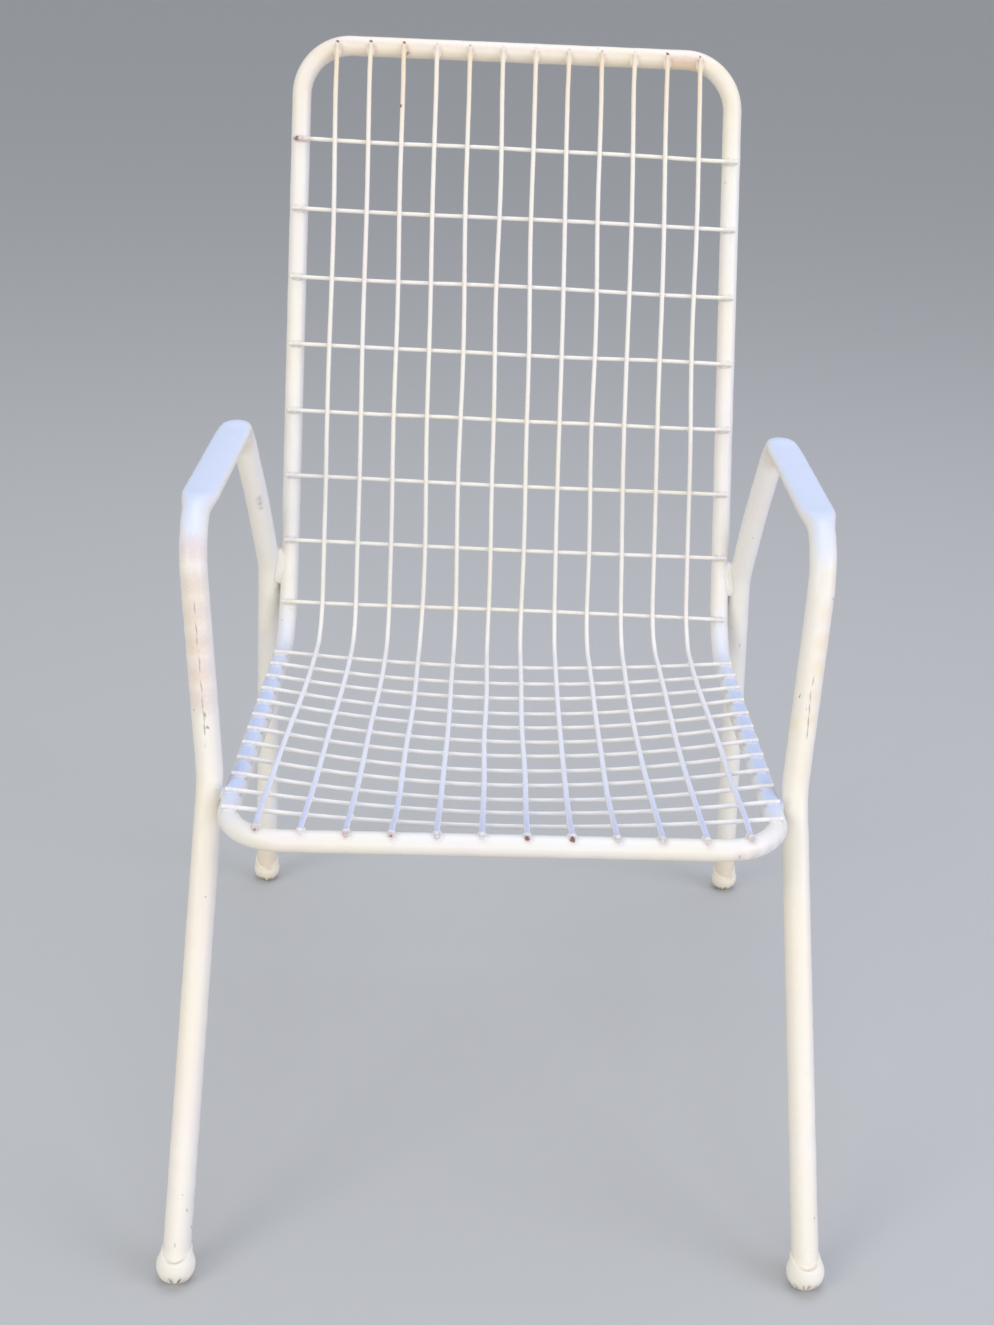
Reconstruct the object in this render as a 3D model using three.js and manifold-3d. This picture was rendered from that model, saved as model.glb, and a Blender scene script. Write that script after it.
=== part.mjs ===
// High-backed garden armchair, welded from bent steel tube and wire.
// Millimetres, +Z up, the front towards -Y and the floor at Z = 0.
// The model is built with the middle of the front rail at Y = 0 and centred at the end.
// Left is -X and right is +X, as seen by somebody who stands in front of the chair.
import * as THREE from 'three';
import { mergeVertices } from 'three/addons/utils/BufferGeometryUtils.js';
import Module from 'manifold-3d';

const wasm = await Module();
wasm.setup();

const degrees = THREE.MathUtils.degToRad;
const { lerp, clamp, smoothstep } = THREE.MathUtils;

// Seat and back, measured along the middle of the hoop's tube
const seatFrontHeight = 381;
const seatLength = 498;
const backLength = 626;
const seatSlope = degrees(3.6);
const backLean = degrees(15.4);
const seatBackRadius = 72;
const hoopHalfWidthFront = 242;
const hoopHalfWidthBend = 241;
const hoopHalfWidthTop = 225.5;
const frontCornerRadius = 56;
const topCornerRadius = 52;

// Tubes
const hoopRadius = 10;
const hoopWall = 1.5;
const hoopSeam = 0.4;
const legRadius = 12.5;
const legWall = 1.5;

// Wires
const columnRadius = 2.6;
const rowRadius = 2.3;
const columnCount = 12;
const columnInsideRailFront = 30;
const columnInsideRailBend = 39.5;
const columnInsideRailTop = 36.5;
const columnOverFrontRail = 2;
const columnOverTopRail = 2.5;
const columnDropShare = 0.67;
const railTouch = 6;
const rowOverRail = 5;
const backRowCount = 8;
const backRowPitch = 70;
const firstBackRow = 98;
const seatRowCount = 12;
const seatRowPitch = 35;
const firstSeatRow = 41;

// The seat's wires hang below its rails, deepest near the middle
const sagDepth = 24;
const sagMiddle = 227;
const sagReach = 247;
const sagPower = 3;

// Side frames: each is a front leg, an armrest and a rear leg in one bent tube
const frontFoot = { x: 281, y: -128 };
const rearFoot = { x: 285, y: 559 };
const frontElbow = { x: 281, y: 163, z: 612 };
const rearElbow = { x: 275, y: 455, z: 608.5 };
const frontWeldBehindRail = 92;
const backWeldAboveCorner = 82;
const kneeRise = 12;
const kneeRadius = 124;
const frontElbowRadius = 77;
const rearElbowRadius = 33;
const backWeldBendRadius = 93;
const armHalfWidth = 16;
const armHalfHeight = 7;
const armCrown = 1.7;
const pressStartShares = [0.65, 1];
const pressEndShares = [-0.5, 0.8];

// Foot caps
const frontCapRadius = 17.5;
const rearCapRadius = 15.5;
const capFlat = 1.5;
const capSole = 6.5;
const capRimWall = 1.2;
const capRimRise = 17.5;
const capRimTilt = degrees(20);

// Weld beads
const beadRadius = 4;
const beadRingRadius = 8.5;
const backBeadStretch = 2;

// Clearance between welded or seated pieces, and how far a cut runs past what it cuts
const gap = 0.3;
const overrun = 60;

// Facets
const wireSides = 8;
const tubeSides = 16;
const boreSides = 8;
const capSides = 16;
const ringSides = 10;
const beadSides = 6;
const cornerSteps = 5;
const bendSteps = 6;
const frontElbowSteps = 7;
const rearElbowSteps = 6;
const kneeSteps = 3;
const capSteps = 4;

// Finishes
const paint = { color: '#f2ede4', roughness: 0.42, metalness: 0 };
const wirePaint = { color: '#f4f1ea', roughness: 0.4, metalness: 0 };
const cappedRubber = { color: '#e9e3d6', roughness: 0.6, metalness: 0 };

const chair = new THREE.Group();

function addPiece(name, geometry, finish) {
  const piece = new THREE.Mesh(geometry, new THREE.MeshStandardMaterial(finish));
  piece.name = name;
  chair.add(piece);
}

function numbered(name, index) {
  return `${name}_${String(index + 1).padStart(2, '0')}`;
}

// Closed geometry to a manifold solid and back
function toSolid(geometry) {
  const bare = geometry.clone();
  bare.deleteAttribute('normal');
  bare.deleteAttribute('uv');
  const merged = mergeVertices(bare);
  return new wasm.Manifold(new wasm.Mesh({
    numProp: 3,
    vertProperties: new Float32Array(merged.attributes.position.array),
    triVerts: new Uint32Array(merged.index.array),
  }));
}

function toGeometry(solid) {
  const mesh = solid.getMesh();
  const geometry = new THREE.BufferGeometry();
  geometry.setAttribute('position', new THREE.BufferAttribute(mesh.vertProperties, mesh.numProp));
  geometry.setIndex(new THREE.BufferAttribute(mesh.triVerts, 1));
  geometry.computeVertexNormals();
  return geometry;
}

// A path that a sweep follows station by station, so that stations can crowd in the bends
class StationPath extends THREE.Curve {
  constructor(stations) {
    super();
    this.stations = stations;
  }

  index(share) {
    return Math.round(share * (this.stations.length - 1));
  }

  getPointAt(share, target = new THREE.Vector3()) {
    return target.copy(this.stations[this.index(share)]);
  }

  getTangentAt(share, target = new THREE.Vector3()) {
    return target.copy(tangentAt(this.stations, this.index(share)));
  }
}

// The direction of travel at a station, halfway between the stretches that meet there
function tangentAt(stations, index) {
  const here = stations[index];
  const before = stations[Math.max(index - 1, 0)];
  const after = stations[Math.min(index + 1, stations.length - 1)];
  const arriving = here.clone().sub(before).normalize();
  const leaving = after.clone().sub(here).normalize();
  return arriving.add(leaving).normalize();
}

function circlePoints(radius, sides) {
  return Array.from({ length: sides }, (_, i) => {
    const angle = (2 * Math.PI * i) / sides;
    return new THREE.Vector2(radius * Math.cos(angle), radius * Math.sin(angle));
  });
}

// A round rod or, with a bore, a round tube along a path of stations
function sweep(stations, radius, sides, boreRadius = 0) {
  const section = new THREE.Shape(circlePoints(radius, sides));
  if (boreRadius > 0) {
    section.holes.push(new THREE.Path(circlePoints(boreRadius, boreSides)));
  }
  return new THREE.ExtrudeGeometry(section, {
    steps: stations.length - 1,
    extrudePath: new StationPath(stations),
  });
}

// Side view of seat and back: a straight seat, one bend and a straight back.
// `along` is measured from the front rail, `lift` square to it towards the sitter.
const seatBackTurn = Math.PI / 2 - backLean + seatSlope;
const bendTangent = seatBackRadius * Math.tan(seatBackTurn / 2);
const bendStart = seatLength - bendTangent;
const bendEnd = bendStart + seatBackRadius * seatBackTurn;
const bendMiddle = (bendStart + bendEnd) / 2;
const hoopLength = bendEnd + backLength - bendTangent;

function place(x, along, lift) {
  const heading = clamp((along - bendStart) / seatBackRadius, 0, seatBackTurn) - seatSlope;
  const seat = Math.min(along, bendStart);
  const back = Math.max(along - bendEnd, 0);
  const arcY = seatBackRadius * (Math.sin(heading) + Math.sin(seatSlope));
  const arcZ = seatBackRadius * (Math.cos(seatSlope) - Math.cos(heading));
  const y = seat * Math.cos(seatSlope) + arcY + back * Math.cos(heading);
  const z = arcZ - seat * Math.sin(seatSlope) + back * Math.sin(heading);
  return new THREE.Vector3(
    x,
    y - lift * Math.sin(heading),
    seatFrontHeight + z + lift * Math.cos(heading),
  );
}

// A width that changes evenly from the front rail to the bend, and from there to the top rail
function widthAt(along, atFront, atBend, atTop) {
  if (along < bendMiddle) return lerp(atFront, atBend, along / bendMiddle);
  return lerp(atBend, atTop, (along - bendMiddle) / (hoopLength - bendMiddle));
}

function hoopHalfWidth(along) {
  return widthAt(along, hoopHalfWidthFront, hoopHalfWidthBend, hoopHalfWidthTop);
}

// How far a rounded corner of the hoop has fallen back, `past` mm beyond where its rounding starts
function roundFall(past, radius) {
  const inside = clamp(past, 0, radius);
  return radius - Math.sqrt(radius * radius - inside * inside);
}

const frontCornerWidth = hoopHalfWidth(frontCornerRadius);
const topCornerWidth = hoopHalfWidth(hoopLength - topCornerRadius);

// Where the front and top rails lie at a distance x from the middle, and the side rails at `along`
function frontRailAlong(x) {
  return roundFall(Math.abs(x) - (frontCornerWidth - frontCornerRadius), frontCornerRadius);
}

function topRailAlong(x) {
  return hoopLength - roundFall(Math.abs(x) - (topCornerWidth - topCornerRadius), topCornerRadius);
}

function sideRailX(along) {
  const frontFall = roundFall(frontCornerRadius - along, frontCornerRadius);
  const topFall = roundFall(along - (hoopLength - topCornerRadius), topCornerRadius);
  return hoopHalfWidth(along) - frontFall - topFall;
}

// Where the row wires lie: seat rows counted from the front, back rows from the top
const seatRows = Array.from({ length: seatRowCount }, (_, i) => firstSeatRow + i * seatRowPitch);
const backRows = Array.from(
  { length: backRowCount },
  (_, i) => hoopLength - firstBackRow - i * backRowPitch,
);

// Stations round the bend, one of them at each row wire that crosses the rails there
function bendPlaces() {
  const inBend = backRows.filter((along) => along > bendStart && along < bendEnd).reverse();
  const pivots = [bendStart, ...inBend, bendEnd];
  const places = [bendStart];
  for (let i = 1; i < pivots.length; i += 1) {
    const reach = pivots[i] - pivots[i - 1];
    const steps = Math.max(Math.round((bendSteps * reach) / (bendEnd - bendStart)), 1);
    for (let step = 1; step <= steps; step += 1) places.push(pivots[i - 1] + (reach * step) / steps);
  }
  return places;
}

// The seat and back hoop: one closed loop of tube, butted at the middle of the front rail
function hoopStations() {
  const half = [];
  half.push([hoopSeam / 2, 0]);
  for (let i = 0; i <= cornerSteps; i += 1) {
    const angle = (Math.PI / 2) * (i / cornerSteps);
    half.push([
      frontCornerWidth - frontCornerRadius * (1 - Math.sin(angle)),
      frontCornerRadius * (1 - Math.cos(angle)),
    ]);
  }
  for (const along of bendPlaces()) half.push([hoopHalfWidth(along), along]);
  for (let i = 0; i <= cornerSteps; i += 1) {
    const angle = (Math.PI / 2) * (i / cornerSteps);
    half.push([
      topCornerWidth - topCornerRadius * (1 - Math.cos(angle)),
      hoopLength - topCornerRadius * (1 - Math.sin(angle)),
    ]);
  }
  const mirrored = half.map(([x, along]) => [-x, along]).reverse();
  return [...half, ...mirrored].map(([x, along]) => place(x, along, 0));
}

// Wires: rows lie over the hoop's rails, and columns lie over the rows
const rowLift = hoopRadius + gap + rowRadius;
const columnLift = rowLift + rowRadius + gap + columnRadius;
const columnEndLift = hoopRadius + gap + columnRadius;

// The sag at each second seat row. The wires run straight between those places.
const lastSeatRow = seatRows[seatRowCount - 1];
const sagPlaces = seatRows.filter((_, i) => i % 2 === 0).concat(lastSeatRow, bendEnd);

function fullSag(along) {
  const away = Math.abs(along - sagMiddle) / sagReach;
  return sagDepth * Math.max(1 - away ** sagPower, 0);
}

function sag(along, x) {
  const last = sagPlaces.length - 1;
  const next = clamp(sagPlaces.findIndex((each) => each >= along), 1, last);
  const from = sagPlaces[next - 1];
  const to = sagPlaces[next];
  const share = (along - from) / (to - from);
  const depth = lerp(fullSag(from), fullSag(to), Math.max(share, 0));
  const side = x / sideRailX(along);
  return depth * Math.max(1 - side * side, 0);
}

function columnX(index, along) {
  const share = (2 * index) / (columnCount - 1) - 1;
  return share * widthAt(
    along,
    hoopHalfWidthFront - columnInsideRailFront,
    hoopHalfWidthBend - columnInsideRailBend,
    hoopHalfWidthTop - columnInsideRailTop,
  );
}

// One column wire, from the top of the front rail through the bend to the face of the top rail
function columnStations(index) {
  const frontRail = frontRailAlong(columnX(index, 0));
  const topRail = topRailAlong(columnX(index, hoopLength));
  const firstRow = backRows[0];
  const path = [
    [frontRail - columnOverFrontRail, columnEndLift],
    [frontRail + columnOverFrontRail, columnEndLift],
  ];
  for (const along of [...sagPlaces.slice(0, -1), ...bendPlaces()]) {
    path.push([along, columnLift - sag(along, columnX(index, along))]);
  }
  path.push([firstRow, columnLift]);
  const reach = topRail - railTouch - firstRow;
  path.push([firstRow + reach / 2, lerp(columnEndLift, columnLift, columnDropShare)]);
  path.push([topRail - railTouch, columnEndLift]);
  path.push([topRail + columnOverTopRail, columnEndLift]);
  return path.map(([along, lift]) => place(columnX(index, along), along, lift));
}

// One row wire, from rail to rail. On the seat and in the bend it follows the sag under each column.
function rowStations(along) {
  const rail = sideRailX(along);
  const end = rail + rowOverRail;
  const columns = Array.from({ length: columnCount }, (_, i) => columnX(i, along));
  const crossings = along < bendEnd ? [-rail, ...columns, rail] : [];
  return [-end, ...crossings, end].map((x) => place(x, along, rowLift - sag(along, x)));
}

// The points of the bend that rounds a corner of a tube's middle line
function bendPoints(before, corner, after, radius, steps) {
  const toBefore = before.clone().sub(corner).normalize();
  const toAfter = after.clone().sub(corner).normalize();
  const turn = Math.PI - toBefore.angleTo(toAfter);
  const start = corner.clone().addScaledVector(toBefore, radius * Math.tan(turn / 2));
  const inwards = toBefore.clone().add(toAfter).normalize();
  const centre = corner.clone().addScaledVector(inwards, radius / Math.cos(turn / 2));
  const outwards = start.clone().sub(centre);
  const travel = toBefore.clone().multiplyScalar(-radius);
  return Array.from({ length: steps + 1 }, (_, i) => {
    const angle = (turn * i) / steps;
    return centre.clone()
      .addScaledVector(outwards, Math.cos(angle))
      .addScaledVector(travel, Math.sin(angle));
  });
}

// The corner whose rounded bend has its middle on a given point
function cornerThrough(before, middle, after, radius) {
  const toBefore = before.clone().sub(middle).normalize();
  const toAfter = after.clone().sub(middle).normalize();
  const turn = Math.PI - toBefore.angleTo(toAfter);
  const inwards = toBefore.add(toAfter).normalize();
  return middle.clone().addScaledVector(inwards, radius - radius / Math.cos(turn / 2));
}

// The right side frame's middle line. It touches the hoop beside a side rail and beside the back.
const legReach = hoopRadius + gap + legRadius;
const frontFloor = new THREE.Vector3(frontFoot.x, frontFoot.y, 0);
const rearFloor = new THREE.Vector3(rearFoot.x, rearFoot.y, 0);
const backWeldAlong = hoopLength - backLength + backWeldAboveCorner;
const frontTouch = place(
  hoopHalfWidth(frontWeldBehindRail) + legReach,
  frontWeldBehindRail,
  0,
);
const backTouch = place(hoopHalfWidth(backWeldAlong) + legReach, backWeldAlong, 0);
const frontLegUp = frontTouch.clone().sub(frontFloor).normalize();
const knee = frontTouch.clone().addScaledVector(frontLegUp, kneeRise);
const frontTop = new THREE.Vector3(frontElbow.x, frontElbow.y, frontElbow.z);
const rearTop = new THREE.Vector3(rearElbow.x, rearElbow.y, rearElbow.z);
const rearKnee = cornerThrough(rearTop, backTouch, rearFloor, backWeldBendRadius);
const rearLegUp = rearKnee.clone().sub(rearFloor).normalize();

// The distance along a leg from the floor to the end of its tube, which stands in the cap
function tubeEndAbove(legUp) {
  const lean = Math.acos(legUp.z);
  return (capSole + legRadius * Math.sin(lean)) / Math.cos(lean);
}

// Stations of the side frame, each with its share of flattening: 0 round, 1 pressed flat
function sideStations() {
  const stations = [];
  const add = (points, flattening) => points.forEach((point, i) => {
    stations.push({ point, flat: flattening(i / Math.max(points.length - 1, 1)) });
  });
  const round = () => 0;
  const frontEnd = frontFloor.clone().addScaledVector(frontLegUp, tubeEndAbove(frontLegUp));
  const rearEnd = rearFloor.clone().addScaledVector(rearLegUp, tubeEndAbove(rearLegUp));
  add([frontEnd], round);
  add(bendPoints(frontEnd, knee, frontTop, kneeRadius, kneeSteps), round);
  add(
    bendPoints(knee, frontTop, rearTop, frontElbowRadius, frontElbowSteps),
    (share) => smoothstep(share, ...pressStartShares),
  );
  // The flat armrest starts to turn round again before the rear elbow, at a share below 0
  const rearBend = bendPoints(frontTop, rearTop, rearKnee, rearElbowRadius, rearElbowSteps);
  const rearBendLength = rearBend.slice(1)
    .reduce((length, point, i) => length + point.distanceTo(rearBend[i]), 0);
  const alongArm = rearTop.clone().sub(frontTop).normalize();
  const pressEnd = rearBend[0].clone().addScaledVector(alongArm, pressEndShares[0] * rearBendLength);
  add([pressEnd], () => 1);
  add(rearBend, (share) => 1 - smoothstep(share, ...pressEndShares));
  add(bendPoints(rearTop, rearKnee, rearEnd, backWeldBendRadius, kneeSteps), round);
  add([rearEnd], round);
  return stations;
}

// A closed solid along the side frame, `grow` mm larger all round than the tube's outside.
// Its section is a circle that turns into a slightly crowned oval where the tube is pressed flat.
function sideSolid(grow, sides, pastEnds = 0) {
  const stations = sideStations();
  const points = stations.map(({ point }) => point);
  const last = points.length - 1;
  const across = new THREE.Vector3(1, 0, 0);
  const positions = [];
  stations.forEach(({ point, flat }, i) => {
    const travel = tangentAt(points, i);
    const side = across.clone().addScaledVector(travel, -travel.dot(across)).normalize();
    const rise = travel.clone().cross(side);
    const halfWidth = lerp(legRadius, armHalfWidth, flat) + grow;
    const halfHeight = lerp(legRadius, armHalfHeight, flat) + grow;
    const past = i === 0 ? -pastEnds : i === last ? pastEnds : 0;
    for (let k = 0; k < sides; k += 1) {
      const angle = (2 * Math.PI * (k + 1 / 2)) / sides;
      const shift = clamp(armCrown * Math.cos(angle), -1, 1) * (halfWidth - halfHeight);
      const corner = point.clone()
        .addScaledVector(travel, past)
        .addScaledVector(side, shift + halfHeight * Math.cos(angle))
        .addScaledVector(rise, halfHeight * Math.sin(angle));
      positions.push(...corner.toArray());
    }
  });
  const faces = [];
  for (let i = 0; i < last; i += 1) {
    for (let k = 0; k < sides; k += 1) {
      const next = (k + 1) % sides;
      const [a, b] = [i * sides + k, i * sides + next];
      faces.push(a, b, b + sides, a, b + sides, a + sides);
    }
  }
  for (let k = 1; k < sides - 1; k += 1) {
    faces.push(0, k + 1, k);
    faces.push(last * sides, last * sides + k, last * sides + k + 1);
  }
  const geometry = new THREE.BufferGeometry();
  geometry.setAttribute('position', new THREE.Float32BufferAttribute(positions, 3));
  geometry.setIndex(faces);
  return toSolid(geometry);
}

function mirrored(geometry) {
  const copy = geometry.clone().scale(-1, 1, 1);
  const index = copy.index.array;
  for (let i = 0; i < index.length; i += 3) [index[i], index[i + 1]] = [index[i + 1], index[i]];
  copy.computeVertexNormals();
  return copy;
}

// Moves a geometry made round the Z axis so that this axis starts at a point and runs along a line
function aimed(geometry, start, direction) {
  const turn = new THREE.Quaternion().setFromUnitVectors(new THREE.Vector3(0, 0, 1), direction);
  return geometry.applyQuaternion(turn).translate(...start.toArray());
}

// A rubber cap: a ball with a collar, worn flat on the floor, with a socket along the leg.
// The collar's rim slopes forwards.
function footCap(floorPoint, legUp, bellyRadius) {
  const ballHeight = (bellyRadius - capFlat) / legUp.z;
  const rimRadius = legRadius + gap + capRimWall;
  const rimHeight = ballHeight + capRimRise;
  const profile = [];
  for (let i = 0; i <= capSteps; i += 1) {
    const angle = (Math.PI / 2) * (i / capSteps - 1);
    const radius = i === 0 ? 0 : bellyRadius * Math.cos(angle);
    profile.push(new THREE.Vector2(radius, ballHeight + bellyRadius * Math.sin(angle)));
  }
  for (let i = 1; i <= capSteps; i += 1) {
    const angle = (Math.PI / 2) * (i / capSteps);
    profile.push(new THREE.Vector2(
      rimRadius + (bellyRadius - rimRadius) * Math.cos(angle),
      ballHeight + capRimRise * Math.sin(angle),
    ));
  }
  profile.push(new THREE.Vector2(rimRadius, rimHeight + overrun));
  profile.push(new THREE.Vector2(0, rimHeight + overrun));
  const body = new THREE.LatheGeometry(profile, capSides).rotateX(Math.PI / 2);
  const rimPoint = floorPoint.clone().addScaledVector(legUp, rimHeight);
  const rimNormal = new THREE.Vector3(0, -Math.sin(capRimTilt), Math.cos(capRimTilt));
  const block = () => new THREE.BoxGeometry(2 * overrun, 2 * overrun, 2 * overrun);
  const above = aimed(block().translate(0, 0, overrun), rimPoint, rimNormal);
  const below = block().translate(floorPoint.x, floorPoint.y, -overrun);
  const socketFloor = tubeEndAbove(legUp) - gap;
  const socket = new THREE.CylinderGeometry(
    legRadius + gap,
    legRadius + gap,
    overrun,
    tubeSides,
  ).rotateX(Math.PI / 2).translate(0, 0, overrun / 2 + socketFloor);
  return toGeometry(
    toSolid(aimed(body, floorPoint, legUp))
      .subtract(toSolid(above))
      .subtract(toSolid(below))
      .subtract(toSolid(aimed(socket, floorPoint, legUp))),
  );
}

// A ring of weld round the place where a leg touches the hoop, fitted to both tubes.
// It is longer along the direction that lies between the two tubes.
function weldBead(touch, along, stretch, cutters) {
  const outwards = new THREE.Vector3(1, 0, 0);
  const across = along.clone().cross(outwards).normalize();
  const lengthwise = outwards.clone().cross(across);
  const centre = touch.clone().addScaledVector(outwards, -legRadius - gap / 2);
  const ring = new THREE.TorusGeometry(beadRingRadius, beadRadius, beadSides, ringSides)
    .scale(1, stretch, 1)
    .applyMatrix4(new THREE.Matrix4().makeBasis(across, lengthwise, outwards))
    .translate(...centre.toArray());
  const pieces = cutters.reduce((solid, cutter) => solid.subtract(cutter), toSolid(ring)).decompose();
  return toGeometry(pieces.reduce((a, b) => (a.volume() > b.volume() ? a : b)));
}

// Seat and back
addPiece(
  'seat_back_hoop',
  sweep(hoopStations(), hoopRadius, tubeSides, hoopRadius - hoopWall),
  paint,
);
for (let i = 0; i < columnCount; i += 1) {
  addPiece(numbered('column_wire', i), sweep(columnStations(i), columnRadius, wireSides), wirePaint);
}
backRows.forEach((along, i) => {
  addPiece(numbered('back_row_wire', i), sweep(rowStations(along), rowRadius, wireSides), wirePaint);
});
seatRows.forEach((along, i) => {
  addPiece(numbered('seat_row_wire', i), sweep(rowStations(along), rowRadius, wireSides), wirePaint);
});

// Sides: the right ones are made and the left ones are their mirror images
const sideFrame = toGeometry(
  sideSolid(0, tubeSides).subtract(sideSolid(-legWall, boreSides, overrun)),
);
const cutters = [
  sideSolid(gap, tubeSides),
  toSolid(sweep(hoopStations(), hoopRadius + gap, tubeSides)),
];
const railDirection = place(0, backWeldAlong, 0).sub(place(0, hoopLength, 0)).normalize();
const betweenTubes = railDirection.clone().add(rearLegUp.clone().negate()).normalize();
const sidePieces = [
  ['side_frame', sideFrame, paint],
  ['front_corner_weld', weldBead(frontTouch, frontLegUp, 1, cutters), paint],
  ['back_rail_weld', weldBead(backTouch, betweenTubes, backBeadStretch, cutters), paint],
  ['front_foot_cap', footCap(frontFloor, frontLegUp, frontCapRadius), cappedRubber],
  ['rear_foot_cap', footCap(rearFloor, rearLegUp, rearCapRadius), cappedRubber],
];
for (const [name, geometry, finish] of sidePieces) {
  addPiece(`right_${name}`, geometry, finish);
  addPiece(`left_${name}`, mirrored(geometry), finish);
}

// The origin lies on the floor under the middle of the chair's outline
const outline = new THREE.Box3().setFromObject(chair);
chair.position.y = -outline.getCenter(new THREE.Vector3()).y;
chair.updateMatrixWorld(true);

export default chair;
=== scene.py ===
# %% [markdown]
# # Dressing a welded garden armchair
# The chair is a loop of bent steel tube filled with a grid of welded wire, and it stands on two
# bent tube side frames. A plain faceted model of it, with every piece in its place, is loaded
# first. It fixes the sizes, and each of its pieces is then replaced by a smooth one of the same
# size with old brushed enamel on it. Keeping the plain model means that nothing can drift.

# %% Load the plain model
import math

import bpy
import numpy as np
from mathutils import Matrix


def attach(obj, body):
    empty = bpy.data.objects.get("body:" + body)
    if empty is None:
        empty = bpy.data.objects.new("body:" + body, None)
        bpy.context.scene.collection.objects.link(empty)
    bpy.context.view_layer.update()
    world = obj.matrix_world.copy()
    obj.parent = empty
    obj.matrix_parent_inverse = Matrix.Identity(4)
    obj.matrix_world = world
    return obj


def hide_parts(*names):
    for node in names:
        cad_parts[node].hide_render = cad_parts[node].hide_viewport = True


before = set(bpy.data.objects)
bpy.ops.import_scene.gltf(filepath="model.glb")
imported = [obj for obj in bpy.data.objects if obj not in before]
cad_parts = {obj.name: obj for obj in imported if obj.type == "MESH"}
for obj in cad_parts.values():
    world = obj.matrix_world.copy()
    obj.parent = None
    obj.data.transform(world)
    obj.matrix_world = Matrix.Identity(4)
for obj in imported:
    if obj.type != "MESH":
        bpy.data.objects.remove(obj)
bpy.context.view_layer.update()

# %% [markdown]
# ## The sizes that everything follows
# All lengths are in metres. The seat and the back are one bent loop, so a place on them is told
# by three numbers: `x` across the chair, `along` from the front rail over the seat and up the
# back, and `lift` square to that surface. One function then turns these into a place in the
# room, and every wire, rail and weld of the grid is laid out in the flat before it is bent.

# %% Sizes of the seat and the back
SEAT_FRONT_HEIGHT = 0.381
FRONT_RAIL_Y = -0.268641
SEAT_LENGTH = 0.498
BACK_LENGTH = 0.626
SEAT_SLOPE = math.radians(3.6)
BACK_LEAN = math.radians(15.4)
BEND_RADIUS = 0.072
HOOP_HALF_WIDTHS = (0.242, 0.241, 0.2255)
FRONT_CORNER_RADIUS = 0.056
TOP_CORNER_RADIUS = 0.052

TURN = math.pi / 2 - BACK_LEAN + SEAT_SLOPE
BEND_START = SEAT_LENGTH - BEND_RADIUS * math.tan(TURN / 2)
BEND_END = BEND_START + BEND_RADIUS * TURN
BEND_MIDDLE = (BEND_START + BEND_END) / 2
HOOP_LENGTH = BEND_END + BACK_LENGTH - BEND_RADIUS * math.tan(TURN / 2)
print("from the front rail to the top rail:", round(HOOP_LENGTH, 4), "m")


# %% From the flat to the room
def heading_at(along):
    """The surface's angle above level: the part of the bend passed, less the seat's slope."""
    return np.clip((along - BEND_START) / BEND_RADIUS, 0, TURN) - SEAT_SLOPE


def place(x, along, lift):
    """A straight stretch, an arc and a straight stretch, moved by lift along the normal."""
    x, along, lift = np.broadcast_arrays(x, along, lift)
    heading = heading_at(along)
    seat = np.minimum(along, BEND_START)
    back = np.maximum(along - BEND_END, 0)
    arc_y = BEND_RADIUS * (np.sin(heading) + math.sin(SEAT_SLOPE))
    arc_z = BEND_RADIUS * (math.cos(SEAT_SLOPE) - np.cos(heading))
    y = seat * math.cos(SEAT_SLOPE) + arc_y + back * np.cos(heading)
    z = arc_z - seat * math.sin(SEAT_SLOPE) + back * np.sin(heading)
    return np.stack([
        x,
        FRONT_RAIL_Y + y - lift * np.sin(heading),
        SEAT_FRONT_HEIGHT + z + lift * np.cos(heading),
    ], axis=-1)


def lifted_normal(along):
    """The direction of lift: level turned up by the heading."""
    heading = heading_at(along)
    return np.stack([0 * heading, -np.sin(heading), np.cos(heading)], axis=-1)


def width_at(along, widths):
    """A half width that changes evenly from the front rail to the bend, and on to the top rail."""
    return np.interp(along, [0, BEND_MIDDLE, HOOP_LENGTH], widths)


# %% [markdown]
# ## The camera
# The photograph was taken standing up, looking down at the seat. The camera's place, direction
# and focal length were solved from the chair's own straight and parallel pieces, so a piece
# that is right in the room is right in the picture. The frame was cut from a larger picture,
# which a lens shift repeats without turning the camera.

# %% Put up the camera
CAMERA_PLACE = (-0.018953, -1.524066, 1.120041)
CAMERA_YAW, CAMERA_PITCH, CAMERA_ROLL = 0.04990459, 0.47447113, -0.04731635
FOCAL_LENGTH, FRAME_WIDTH, FRAME_HEIGHT = 1700, 994, 1325
PICTURE_MIDDLE = (560, 750)


def unit(vectors):
    return vectors / np.linalg.norm(vectors, axis=-1, keepdims=True)


def new_object(name, data):
    """An object of the scene that holds a mesh, a lamp or a camera."""
    made = bpy.data.objects.new(name, data)
    bpy.context.collection.objects.link(made)
    return made


def put(made, turn, spot):
    """Gives an object its axes, as the columns of a turn, and its place."""
    matrix = np.eye(4)
    matrix[:3, :3], matrix[:3, 3] = turn, spot
    made.matrix_world = matrix.T.tolist()


def camera_turn(yaw, pitch, roll):
    """Columns are the camera's right, up and back: aimed by yaw and pitch, then rolled."""
    ahead = np.array([
        math.sin(yaw) * math.cos(pitch),
        math.cos(yaw) * math.cos(pitch),
        -math.sin(pitch),
    ])
    level = np.array([math.cos(yaw), -math.sin(yaw), 0.0])
    below = np.cross(ahead, level)
    right = math.cos(roll) * level + math.sin(roll) * below
    down = math.cos(roll) * below - math.sin(roll) * level
    return np.stack([right, -down, -ahead], axis=1)


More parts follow.
